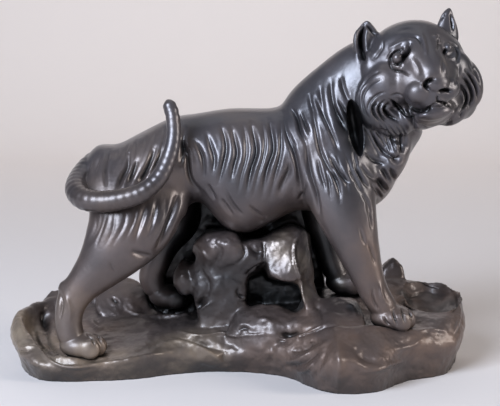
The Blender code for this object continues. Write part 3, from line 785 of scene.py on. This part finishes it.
# Each leg and its paw. Sections: x, y, height above the ground under the paw, half thickness, half width.
# Paw: x, y, how far the toes reach ahead of it
LEGS = [
    (
        [
            (58, -13, 124, 22, 14), (61, -21, 104, 26, 16), (66, -26, 84, 22, 16), (72, -29, 64, 17, 14),
            (78, -29, 46, 13, 12), (83, -29, 32, 10.5, 10.5), (88, -29, 21, 9.5, 10), (94, -29, 12, 9, 10.5),
        ],
        (98, NEAR_PAW_Y, 9),
    ),
    (
        [
            (57, 17, 110, 24, 13), (56, 23, 88, 22, 15), (55, 26, 66, 16, 13), (57, 26, 46, 12, 11),
            (61, 26, 30, 10, 10), (64, 26, 19, 9, 9.5), (68, 26, 11, 8.5, 10),
        ],
        (73, FAR_PAW_Y, 8),
    ),
    (
        [
            (-60, -13, 116, 30, 14), (-64, -22, 100, 34, 16), (-68, -28, 84, 28, 17),
            (-77.5, -31, 69, 21.5, 15), (-87.5, -32, 56.5, 15.5, 12), (-98, -32, 45, 11.5, 9.5),
            (-105, -32, 34, 10, 8.5), (-107, -32, 22, 9, 8.5), (-105, -32, 11, 9, 9.5),
        ],
        (-99, NEAR_PAW_Y - 2, 10),
    ),
    (
        [
            (-58, 15, 100, 30, 13), (-52, 22, 78, 28, 15), (-45, 26, 60, 21, 14), (-50, 27, 43, 11, 10),
            (-56, 27, 29, 9.5, 9), (-59, 27, 20, 9, 8), (-55, 27, 11, 8.5, 8.5),
        ],
        (-47, FAR_PAW_Y + 1, 9),
    ),
]

PAW_RADII = (14, 11.5, 8.6)
PAW_PAD_HEIGHT = 7.0
TOES = 4
TOE_PITCH = 5.6
TOE_STAGGER = 1.6
TOE_FAN = 6.0
TOE_HEIGHT = 6.4
TOE_RADII = (6.6, 3.1, 6.4)

# Swellings of the body: centre with its height above GROUND_HEIGHT, radii, lean forward in degrees
MUSCLES = [
    ((83, -3, 106), (20, 25, 26), 24),
    ((98, -12, 117), (11, 17, 22), 22),
    ((-43, -19, 85), (10, 8, 13), 24),
    ((-43, 19, 85), (10, 8, 13), 24),
    ((-109.5, -32, 35), (4.2, 4.6, 5.5), -18),
]

# From root to tip: x, y, height above GROUND_HEIGHT, radius
TAIL = [
    (-82, 3, 111, 12),
    (-92, 0, 108, 10.5),
    (-99.5, -13, 102, 8.4),
    (-100.5, -29, 96.5, 7.2),
    (-93, -41, 92.5, 6.9),
    (-78, -47, 92.5, 6.6),
    (-60, -48.5, 97, 6.0),
    (-48.5, -46, 105.5, 5.4),
    (-42, -42, 118, 4.9),
    (-39, -39, 131, 4.5),
    (-39.5, -36, 143, 4.4),
    (-41.6, -33.4, 150, 4.2),
    (-42.6, -32.4, 153.2, 2.4),
]
TAIL_RING_PITCH = 4.6
TAIL_RING_DEPTH = 0.38

# The head's own frame: across to the tiger's left, up, and forward along its nose
HEAD_CENTRE = (111.0, -20.0, 173.0)
HEAD_TURN = 14.0
HEAD_ROLL = 11.0
HEAD_LIFT = 3.0
EYES = [((-15.8, 8.8, 15.0), 3.4), ((18.6, 8.4, 13.2), 2.7)]

# Each ear from root to tip, in the head's own frame: across, up, forward, half thickness, half width
EARS = [
    [
        (-24.0, 8, -6, 4, 6), (-25.0, 15, -7, 4.2, 8.0), (-24.8, 21, -7.5, 4.0, 9.0),
        (-24.2, 26.5, -7.5, 3.4, 7.8), (-23.4, 31, -7.5, 2.6, 4.8), (-22.8, 34, -7.5, 1.6, 1.8),
    ],
    [
        (26.0, 8, -6, 4, 7), (28.0, 15, -6.5, 4.0, 7.6), (29.2, 21, -7, 3.8, 6.8), (30.4, 26, -7, 3.0, 4.8),
        (31.8, 29.5, -7, 2.4, 3.0), (32.8, 31.6, -7, 1.4, 1.4),
    ],
]

# In the head's own frame: across, up, forward, half thickness, half width
SKULL = [
    (1.0, 26, -3, 7, 12),
    (1.2, 22, -3, 13, 20),
    (1.4, 14, -3, 18.5, 27.5),
    (1.6, 4, -3, 19.5, 33),
    (1.8, -6, -4, 18, 36.5),
    (2.0, -16, -5, 16, 40),
    (1.5, -25, -5, 14.5, 38.5),
    (-0.5, -32, -4, 11, 26),
    (-1, -36, -2, 7, 14),
]
NOSE_BRIDGE = [
    (0, 18, 6, 9, 15),
    (0, 9, 13, 10, 13.5),
    (0, 1, 20, 10.5, 12),
    (0, -5, 26, 9.5, 10.5),
    (0, -9, 29.5, 7.5, 9),
]
MUZZLE = [
    (0, -6, 6, 18, 25),
    (0, -9, 14, 16, 22),
    (0, -13, 21, 13, 18),
    (0, -15, 26, 10.5, 14.5),
    (0, -15, 29.5, 6, 9),
]

# The rounder parts of the face, on both sides where across isn't 0: centre, radii, splay
FACE_LUMPS = [
    ((0, 11, -3), (27, 19, 20), 0),
    ((0, 12, 6), (20, 13, 11), 0),
    ((0, -28.5, 14), (12, 6.5, 10), 0),
    ((-1, -29, 4), (19.5, 9.5, 13), 0),
    ((20, -6, 6), (15, 14, 12), 0),
    ((31, -16, 1), (11.5, 17, 10), 6),
    ((22, -29, -1), (15, 10, 10), 36),
    ((0, -16, 18), (17, 9, 8), 0),
    ((25.5, 2, -2), (9, 14, 8.5), 0),
]

# What stands out of the face more sharply: nose, lips, chin and brows
FACE_KNOBS = [
    ((0.5, -10.5, 31), (7.6, 5.0, 4.2)),
    ((-8.6, -13.4, 24.2), (9.2, 7.6, 7.2)),
    ((8.0, -15, 24.5), (8.6, 7.4, 7.2)),
    ((0, -28.3, 19.5), (11.5, 4.8, 7.5)),
    ((-3.2, 16.4, 14.2), (4.6, 3.6, 3.4)),
    ((9.4, 14.2, 14.2), (4.6, 3.6, 3.4)),
]

CLAY_VOXEL = 1.6
CLAY_PASSES = 24
HEAD_VOXEL = 1.3
HEAD_PASSES = 12
COAT_VOXEL = 0.65
COAT_PASSES = 8
TIGER_TRIANGLES = 195000
RING_POINTS = 28


def loft(shape, rows, side=(0, 1, 0), frame_of=None, level=False):
    """Adds a closed skin through elliptical sections: a centre, half its thickness and half its width."""
    centres = [Vector(row[:3]) for row in rows]
    side = Vector(side)
    made = []
    rings = []
    for index, row in enumerate(rows):
        along = centres[min(index + 1, len(rows) - 1)] - centres[max(index - 1, 0)]
        if level:
            along.z = 0.0
        along.normalize()
        side = (side - along * side.dot(along)).normalized()
        over = along.cross(side)
        ring = []
        for point in range(RING_POINTS):
            angle = 2 * math.pi * point / RING_POINTS
            offset = over * math.cos(angle) * row[3] + side * math.sin(angle) * row[4]
            ring.append(shape.verts.new(centres[index] + offset))
        rings.append(ring)
        made.extend(ring)
    for ring, following in zip(rings, rings[1:]):
        for point in range(RING_POINTS):
            after = (point + 1) % RING_POINTS
            shape.faces.new((ring[point], ring[after], following[after], following[point]))
    for ring, inner, centre, row in (
        (rings[0], centres[1], centres[0], rows[0]),
        (rings[-1], centres[-2], centres[-1], rows[-1]),
    ):
        pole = shape.verts.new(centre + (centre - inner).normalized() * 0.6 * min(row[3], row[4]))
        made.append(pole)
        for point in range(RING_POINTS):
            shape.faces.new((ring[point], ring[(point + 1) % RING_POINTS], pole))
    if frame_of is not None:
        bmesh.ops.transform(shape, matrix=frame_of, verts=made)


def ball(shape, centre, radii, turn=(0, 0, 0), frame_of=None):
    """Adds an ellipsoid, turned by Euler angles in degrees, in the frame of the object or in another one."""
    spin = Euler([math.radians(a) for a in turn]).to_matrix().to_4x4()
    place = Matrix.Translation(Vector(centre)) @ spin @ Matrix.Diagonal((*radii, 1.0))
    if frame_of is not None:
        place = frame_of @ place
    bmesh.ops.create_icosphere(shape, subdivisions=4, radius=1.0, matrix=place)


def head_frame():
    """The matrix from the head's own frame (across, up, forward) to the object's."""
    level = Matrix(((1, 0, 0), (0, 0, -1), (0, 1, 0))).to_4x4()
    turn = Matrix.Rotation(math.radians(HEAD_TURN), 4, "Y")
    lift = Matrix.Rotation(math.radians(-HEAD_LIFT), 4, "X")
    roll = Matrix.Rotation(math.radians(HEAD_ROLL), 4, "Z")
    x, y, z = HEAD_CENTRE
    return Matrix.Translation((x, y, GROUND_HEIGHT + z)) @ level @ turn @ lift @ roll


def add_paw(shape, paw_x, paw_y, toe_reach):
    """A paw that lies on the rock's top, with its four toes."""
    level = ground_at(paw_x, paw_y)
    ball(shape, (paw_x, paw_y, level + PAW_PAD_HEIGHT), PAW_RADII, (0, 4, 0))
    for toe in range(TOES):
        off = toe - (TOES - 1) / 2
        ahead = toe_reach - TOE_STAGGER * off * off
        centre = (paw_x + ahead, paw_y + off * TOE_PITCH, level + TOE_HEIGHT)
        ball(shape, centre, TOE_RADII, (0, 12, off * -TOE_FAN))


def add_tail(shape):
    """The tail, ringed all along, which sweeps round the near haunch and stands up beside the back."""
    rows = smooth_line([(x, y, GROUND_HEIGHT + z, radius, radius) for x, y, z, radius in TAIL], 24)
    walked = 0.0
    ringed = []
    for index, row in enumerate(rows):
        if index:
            walked += np.linalg.norm(row[:3] - rows[index - 1][:3])
        ring = TAIL_RING_DEPTH * abs(math.sin(math.pi * walked / TAIL_RING_PITCH)) - TAIL_RING_DEPTH / 2
        ringed.append((*row[:3], row[3] + ring, row[4] + ring))
    loft(shape, ringed)


def add_head(shape):
    """The skull, cheeks and muzzle, placed in the head's own frame."""
    placed = head_frame()
    across = (1, 0, 0)
    for sections in (SKULL, NOSE_BRIDGE, MUZZLE):
        loft(shape, smooth_line(sections), across, placed)
    for (u, v, w), radii, splay in FACE_LUMPS:
        for hand in (-1, 1) if u else (1,):
            ball(shape, (hand * u, v, w), radii, (0, 0, hand * splay), placed)


# The coat, as the photograph shows it: single strokes first, then combed groups, each from its first line to
# its last
COAT_STROKES = [
    # the ribs
    ([(195, 141), (200, 150), (203, 160), (204, 178)], 3.8, 1.6),
    ([(207, 134), (211, 146), (214, 158), (213, 172)], 4.1, 1.6),
    ([(221, 126), (225, 138), (226, 150), (223, 165), (218, 184)], 4.1, 1.9),
    ([(232, 128), (235, 140), (237, 153), (234, 166), (231, 180)], 4.2, 2.1),
    ([(243, 124), (246, 140), (246, 158), (241, 176), (238, 192)], 3.5, 1.0),
    ([(251, 124), (255, 140), (256, 153), (251, 170), (246, 194)], 4.6, 2.8),
    ([(262, 122), (265, 140), (263, 158), (257, 178), (253, 196)], 3.2, 0.9),
    ([(269, 120), (272, 136), (273, 150), (267, 170), (262, 196)], 4.5, 2.5),
    ([(280, 118), (281, 136), (280, 156), (275, 176), (270, 198)], 3.8, 1.4),
    ([(288, 162), (289, 170), (284, 182), (279, 194)], 5.8, 2.2),
    # the shoulder line
    ([(283, 114), (285, 127), (288, 138), (294, 152), (298, 170), (301, 192), (304, 206)], 4.3, 2.2),
    ([(289, 132), (292, 140), (296, 147)], 2.9, 1.1),
    # the flank and the line from the haunch to the belly
    ([(185, 128), (183, 142), (187, 154), (189, 172), (193, 183), (201, 192)], 4.1, 2.0),
    ([(182, 138), (183, 150), (181, 164)], 4.6, 2.6),
    ([(207, 184), (211, 192), (216, 200)], 3.5, 1.4),
    ([(221, 199), (226, 206), (233, 215)], 3.5, 1.2),
    ([(226, 191), (231, 202), (237, 210), (243, 215)], 3.5, 1.2),
    ([(249, 205), (256, 212), (267, 219)], 3.5, 1.1),
    ([(178, 194), (175, 206), (170, 220), (164, 236), (156, 250)], 5.2, 2.8),
    # the grooves of the haunch above the tail
    ([(155, 148), (150, 162), (145, 173), (139, 183)], 4.3, 3.0),
    ([(162, 150), (157, 162), (150, 174)], 3.5, 2.0),
    ([(129, 154), (127, 168), (122, 178), (118, 188)], 4.1, 2.0),
    ([(137, 160), (133, 172), (128, 184)], 3.8, 2.0),
    ([(109, 152), (105, 166), (106, 188)], 3.5, 1.1),
    # the shoulder
    ([(291, 108), (297, 118), (300, 130), (305, 142)], 3.8, 2.5),
    ([(300, 112), (304, 122), (309, 133)], 3.2, 1.8),
    ([(306, 140), (308, 158), (310, 174), (315, 190), (318, 204), (320, 216)], 3.8, 2.0),
    ([(311, 106), (315, 124), (318, 140), (322, 155), (330, 170), (338, 184), (340, 202)], 3.5, 1.5),
    ([(330, 156), (336, 167), (342, 176), (350, 184)], 3.8, 2.1),
    ([(316, 98), (321, 110), (327, 122), (334, 138), (338, 150)], 3.5, 1.5),
    ([(318, 158), (320, 172), (326, 190)], 2.9, 0.9),
    ([(306, 184), (303, 193), (298, 200)], 2.9, 1.0),
    # the neck
    ([(331, 80), (331, 92), (334, 106), (340, 120), (347, 132)], 4.0, 1.7),
    ([(341, 76), (343, 88), (349, 102)], 4.0, 1.4),
    ([(338, 100), (343, 108), (348, 116)], 2.4, 1.2),
    ([(333, 104), (338, 114), (344, 124)], 2.2, 1.2),
    ([(320, 84), (321, 98), (325, 114), (332, 128)], 4.5, 1.2),
    ([(309, 92), (311, 104), (316, 116)], 4.0, 0.8),
    # the breast
    ([(355, 166), (361, 177), (369, 188)], 2.9, 1.6),
    ([(361, 165), (368, 174), (375, 180)], 2.9, 1.6),
    ([(350, 168), (356, 180), (361, 192)], 3.2, 1.2),
    ([(378, 178), (382, 185), (387, 193)], 4.6, 3.8),
    ([(381, 168), (385, 174), (389, 182)], 3.8, 2.2),
    ([(389, 168), (393, 175), (396, 184)], 3.5, 2.2),
    ([(372, 184), (378, 192), (382, 200)], 2.9, 1.5),
    ([(390, 156), (396, 160), (401, 156)], 5.8, 3.8),
    ([(398, 136), (404, 144), (402, 154)], 7.2, 4.2),
    ([(366, 152), (374, 160), (384, 164)], 3.2, 1.6),
    ([(380, 148), (386, 154), (394, 158)], 3.2, 1.6),
    ([(381, 130), (388, 134), (396, 142)], 3.5, 1.8),
    ([(372, 134), (378, 144), (386, 152)], 3.2, 1.4),
    # the foreleg
    ([(362, 193), (368, 203), (372, 216)], 2.9, 1.1),
    ([(366, 205), (370, 216), (372, 230)], 2.6, 1.0),
    ([(360, 228), (363, 238), (366, 246)], 2.9, 1.0),
    ([(368, 243), (372, 252), (375, 264)], 2.6, 1.1),
    # the thigh
    ([(145, 206), (140, 222), (134, 240)], 4.5, 1.0),
    ([(157, 200), (155, 214), (148, 232)], 4.0, 0.8),
    ([(103, 214), (98, 230), (88, 246)], 4.6, 0.8),
    ([(131, 250), (140, 255), (153, 257)], 6.5, 1.8),
    ([(110, 262), (112, 268), (116, 273)], 2.9, 0.6),
]

COAT_COMBED = [
    # rump
    ([(92, 158), (88, 170), (84, 184)], [(165, 126), (163, 140), (158, 156)], 9, 2.4, 0.38, 0.6),
    # shoulder
    ([(322, 160), (328, 180), (332, 200)], [(352, 150), (358, 168), (364, 186)], 5, 2.6, 0.6, 0.8),
    # breast
    ([(364, 126), (372, 142), (380, 156)], [(398, 122), (406, 136), (408, 150)], 8, 1.7, 0.9, 0.6),
    # thigh
    ([(97, 214), (94, 230), (86, 248)], [(126, 210), (122, 228), (112, 248)], 4, 3.4, 0.42, 0.8),
    ([(136, 206), (133, 222), (126, 240)], [(166, 200), (163, 222), (152, 244)], 4, 3.0, 0.38, 0.8),
]


# The coat stops short of the head and the tail by this much, and lies above one height and, on the far side,
# behind one place along the body
HEAD_CLEAR = 30
TAIL_CLEAR = 6.4
COAT_FROM = 50
FAR_COAT_TO = 84


def coat_strokes():
    """All the strokes of one flank."""
    found = list(COAT_STROKES)
    for first, last, count, half_width, depth, wander in COAT_COMBED:
        found += combed(first, last, count, half_width, depth, wander)
    return found


def on_far_side(coords, normals):
    """The far flank as if it were the near one."""
    flip = np.array((1.0, -1.0, 1.0))
    return in_picture(coords * flip, normals * flip)


def near_half(coords):
    """The near half of the body, without the tail, the head and the paws."""
    x, y, z = HEAD_CENTRE
    head = np.linalg.norm(coords - np.array((x, y, z + GROUND_HEIGHT)), axis=1)
    return (coords[:, 1] < 6) * (head > HEAD_CLEAR) * (coords[:, 2] > COAT_FROM) * away_from_tail(coords)


def far_half(coords):
    """The far half of the body, in the same way."""
    behind = coords[:, 0] < FAR_COAT_TO
    return (coords[:, 1] > 0) * (coords[:, 2] > COAT_FROM) * behind * away_from_tail(coords)


def away_from_tail(coords):
    """Nothing of the tail, which has its own rings."""
    line = smooth_line([(x, y, GROUND_HEIGHT + z) for x, y, z, _ in TAIL[2:]])
    nearest = np.full(len(coords), 1e9)
    for point in line:
        nearest = np.minimum(nearest, np.linalg.norm(coords - point, axis=1))
    return np.clip((nearest - TAIL_CLEAR) / 2, 0, 1)


def face_only(coords):
    """The head from the ears forward."""
    back = np.array(head_frame().inverted())
    local = coords @ back[:3, :3].T + back[:3, 3]
    clear = (local[:, 2] > -13) * (np.linalg.norm(local[:, :2], axis=1) < 52).astype(float)
    for centre, radius in EYES:
        clear *= np.clip((np.linalg.norm(local - np.array(centre), axis=1) - radius) / 0.8, 0, 1)
    return clear


# The face, the ears and the ruff, in the same way as the marks on the rock
FACE_STROKES = [
    # the near eye: upper lid, the deep corner by the nose, lower lid
    ([(390, 63), (391, 57), (395, 52), (400, 50), (405, 49)], 2.2, 2.4),
    ([(399, 64), (403, 58), (407, 52), (410, 44)], 3.6, 5.5),
    ([(389, 59), (391, 66), (396, 70), (402, 71), (408, 75)], 2.0, 1.7),
    ([(388, 58), (392, 53), (398, 50), (404, 51)], 2.2, -1.3),
    ([(390, 62), (394, 67), (400, 67), (404, 63)], 1.8, -1.2),
    # its brow
    ([(409, 38), (416, 37), (421, 42), (423, 50)], 2.4, 1.0),
    ([(388, 50), (397, 45), (407, 39)], 5.0, -1.0),
    # the forehead
    ([(421, 33), (424, 43), (427, 56)], 3.5, -1.0),
    ([(438, 36), (439, 43), (437, 50)], 2.0, 1.6),
    ([(396, 32), (408, 29), (420, 31)], 3.0, 0.4),
    # the other eye and its brow
    ([(443, 54), (446, 50), (449, 45)], 2.6, 3.0),
    ([(449, 43), (455, 46), (458, 53), (457, 62)], 2.2, 1.8),
    ([(444, 57), (450, 59), (456, 57)], 2.4, -0.8),
    # the nose
    ([(412, 58), (417, 67), (420, 76)], 5.0, 1.0),
    ([(442, 58), (443, 65), (443, 74)], 2.6, 0.8),
    ([(434, 79), (428, 81), (425, 85), (429, 90)], 2.8, 4.2),
    ([(439, 92), (445, 90), (451, 92)], 2.6, 4.2),
    ([(437, 96), (438, 102)], 1.8, 1.6),
    # the lips and the chin
    ([(403, 95), (405, 103), (411, 108), (418, 111), (426, 110), (432, 106), (437, 103)], 2.4, 2.2),
    ([(407, 106), (411, 118), (415, 131)], 4.6, 3.6),
    ([(436, 102), (443, 103), (451, 106)], 2.2, 3.0),
    ([(389, 99), (396, 105), (402, 111), (408, 116), (418, 114)], 2.2, 1.9),
    ([(418, 116), (426, 115), (433, 114)], 4.0, -1.0),
    ([(413, 122), (428, 129), (443, 128), (453, 120)], 3.2, 2.4),
    # the ruff by the near cheek
    ([(380, 71), (369, 77), (361, 86), (358, 96), (360, 108)], 2.2, 1.3),
    ([(382, 78), (371, 84), (364, 92), (362, 102), (365, 112), (370, 121)], 2.3, 1.2),
    ([(386, 92), (377, 95), (370, 102), (368, 110)], 2.0, 1.0),
    ([(378, 101), (373, 107), (374, 114), (380, 122)], 2.3, 2.4),
    ([(384, 101), (379, 107), (380, 114), (386, 122)], 2.1, 2.4),
    ([(389, 103), (385, 109), (388, 114), (397, 120)], 3.2, 3.6),
    ([(392, 101), (398, 106), (404, 112)], 2.4, 1.8),
    ([(390, 96), (397, 94), (403, 97)], 1.8, 0.9),
    # the ruff by the other cheek
    ([(470, 64), (476, 74), (480, 86)], 1.8, 1.3),
    ([(466, 70), (472, 79), (477, 90), (478, 100)], 2.4, 2.8),
    ([(463, 76), (469, 86), (472, 98), (468, 108)], 2.4, 2.8),
    ([(460, 84), (465, 94), (466, 103), (460, 110)], 2.3, 2.4),
    ([(457, 107), (453, 114), (449, 121)], 2.4, 1.8),
    ([(464, 111), (459, 118)], 2.0, 1.4),
    ([(459, 66), (458, 76), (455, 86)], 3.0, 0.8),
    # the ears
    ([(364, 24), (361, 34), (361, 46), (363, 61)], 4.6, 8.0),
    ([(366, 24), (371, 29), (376, 35)], 3.0, 2.6),
    ([(383, 40), (382, 48), (378, 54), (374, 60)], 2.4, 0.8),
    ([(451, 14), (452, 22), (453, 30)], 2.2, 2.6),
    ([(441, 20), (444, 14)], 2.0, 1.0),
]

# The deep gap between the ruff and the neck, and the fold of the flank: centre, radii, turn in degrees
RUFF_GAP = ((73.5, -36, 160), (4.8, 22, 19), (0, -10, 0))
FLANK_FOLD = ((-27, -24, 93), (11, 20, 12), (0, -20, 0))

# The toes and the claws of the near paws, the hollow of the wrist and the ridge of the hock
PAW_STROKES = [
    ([(393, 309), (394, 316), (397, 325)], 1.9, 1.8),
    ([(401, 307), (403, 315), (405, 323)], 1.9, 1.8),
    ([(407, 307), (410, 313), (411, 320)], 1.7, 1.6),
    ([(383, 316), (386, 322), (390, 325)], 2.2, 1.2),
    ([(372, 288), (373, 300), (378, 310)], 3.2, 1.2),
    ([(380, 284), (382, 296), (388, 306)], 3.4, -1.0),
    ([(86, 334), (92, 338), (94, 345)], 1.9, 1.8),
    ([(92, 333), (98, 336), (101, 343)], 1.9, 1.8),
    ([(98, 332), (103, 335), (105, 341)], 1.7, 1.5),
    ([(60, 292), (62, 304), (60, 320)], 3.5, 1.2),
    ([(66, 296), (70, 308), (70, 322)], 4.0, -0.9),
]

flesh = bmesh.new()
loft(flesh, smooth_line([(x, 0, GROUND_HEIGHT + z, high, wide) for x, z, high, wide in TRUNK]), level=True)
loft(flesh, smooth_line([(x, y, GROUND_HEIGHT + z, thick, wide) for x, y, z, thick, wide in NECK]))
for (x, y, z), radii, lean in MUSCLES:
    ball(flesh, (x, y, GROUND_HEIGHT + z), radii, (0, lean, 0))
for sections, (paw_x, paw_y, _) in LEGS:
    level = ground_at(paw_x, paw_y)
    loft(flesh, smooth_line([(x, y, level + height, thick, wide) for x, y, height, thick, wide in sections]))
clay = bmesh.new()
clay.from_mesh(fused(flesh, CLAY_VOXEL, CLAY_PASSES))
for _, (paw_x, paw_y, toe_reach) in LEGS:
    add_paw(clay, paw_x, paw_y, toe_reach)
add_tail(clay)
skull = bmesh.new()
add_head(skull)
clay.from_mesh(fused(skull, HEAD_VOXEL, HEAD_PASSES))
for ear in EARS:
    loft(clay, smooth_line(ear), (1, 0, 0), head_frame())
for centre, radii in FACE_KNOBS:
    ball(clay, centre, radii, frame_of=head_frame())
for centre, radius in EYES:
    ball(clay, centre, [radius] * 3, frame_of=head_frame())
tiger_skin = fused(clay, COAT_VOXEL, COAT_PASSES)
carve(tiger_skin, coat_strokes(), in_picture, near_half)
carve(tiger_skin, coat_strokes(), on_far_side, far_half)
dent(tiger_skin, *RUFF_GAP)
dent(tiger_skin, *FLANK_FOLD)
carve(tiger_skin, PAW_STROKES, in_picture)
carve(tiger_skin, FACE_STROKES, in_picture, face_only)
tiger_figure = cast("tiger_figure", tiger_skin, TIGER_TRIANGLES, metal)
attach(tiger_figure, "root")
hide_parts("tiger_on_rock")


# The floor
# Nothing of the object: a plain pale sheet under and behind the casting, which curves up at the back as in a
# studio.

FLOOR_COLOUR = (0.69, 0.64, 0.62, 1.0)
FLOOR_HALF_WIDTH = 3.0
FLOOR_FRONT = -2.4
FLOOR_BEND_FROM = 1.35
FLOOR_BEND_RADIUS = 0.6
FLOOR_TOP = 3.0
FLOOR_BEND_STEPS = 16

floor_shape = bmesh.new()
profile = [(FLOOR_FRONT, 0.0)]
for step in range(FLOOR_BEND_STEPS + 1):
    angle = math.pi / 2 * step / FLOOR_BEND_STEPS
    profile.append((
        FLOOR_BEND_FROM + FLOOR_BEND_RADIUS * math.sin(angle),
        FLOOR_BEND_RADIUS * (1 - math.cos(angle)),
    ))
profile.append((FLOOR_BEND_FROM + FLOOR_BEND_RADIUS, FLOOR_TOP))
edges = [[floor_shape.verts.new((side * FLOOR_HALF_WIDTH, y, z)) for y, z in profile] for side in (-1, 1)]
for index in range(len(profile) - 1):
    floor_shape.faces.new((edges[0][index], edges[1][index], edges[1][index + 1], edges[0][index + 1]))
floor_mesh = bpy.data.meshes.new("floor")
floor_shape.to_mesh(floor_mesh)
floor_shape.free()
floor = bpy.data.objects.new("floor", floor_mesh)
bpy.context.scene.collection.objects.link(floor)
floor_mesh.shade_smooth()
floor_paint = bpy.data.materials.new("pale_floor")
floor_paint.use_nodes = True
floor_paint.node_tree.nodes["Principled BSDF"].inputs["Base Color"].default_value = FLOOR_COLOUR
floor_paint.node_tree.nodes["Principled BSDF"].inputs["Roughness"].default_value = 0.9
floor_mesh.materials.append(floor_paint)


# The light
# Soft studio light: a large bluish one from the upper left, a weaker one from the right, a faint one
# overhead, one aimed at the backdrop, and a pale room.


def softbox(name, place, size, watts, colour, aim=(0, 0, 0.11)):
    """A soft rectangular light that looks at the figurine, or at another place."""
    data = bpy.data.lights.new(name, "AREA")
    data.shape = "RECTANGLE"
    data.size, data.size_y = size
    data.energy = watts
    data.color = colour
    made = bpy.data.objects.new(name, data)
    bpy.context.scene.collection.objects.link(made)
    made.location = place
    made.rotation_euler = (Vector(aim) - made.location).to_track_quat("-Z", "Y").to_euler()


softbox("window_left", (-0.85, -1.15, 0.82), (0.8, 0.8), 45, (0.74, 0.84, 1.0))
softbox("window_right", (1.25, -0.40, 0.55), (0.35, 0.8), 10, (1.0, 0.95, 0.90))
softbox("ceiling", (0.1, 0.25, 1.3), (1.2, 0.7), 1.5, (0.95, 0.97, 1.0))
softbox("backdrop", (0.0, 1.15, 1.6), (2.6, 0.5), 19, (1.0, 0.96, 0.93), (0, 2.1, 0.9))
room = bpy.data.worlds.new("room")
room.use_nodes = True
room.node_tree.nodes["Background"].inputs["Color"].default_value = (0.88, 0.92, 1.0, 1.0)
room.node_tree.nodes["Background"].inputs["Strength"].default_value = 0.13
bpy.context.scene.world = room
bpy.context.scene.view_settings.view_transform = "Standard"


# The camera
# It looks from where the photograph was taken: level with the head, a little above the back, and far enough
# off that the figurine is hardly foreshortened.

SENSOR_WIDTH = 36.0
lens = bpy.data.cameras.new("camera")
lens.sensor_width = SENSOR_WIDTH
lens.lens = FOCAL_PIXELS / PICTURE[0] * SENSOR_WIDTH
camera = bpy.data.objects.new("camera", lens)
bpy.context.scene.collection.objects.link(camera)
camera.location = (EYE + PLACE) * MM
camera.rotation_euler = (LOOKED_AT - EYE).to_track_quat("-Z", "Y").to_euler()
bpy.context.scene.camera = camera
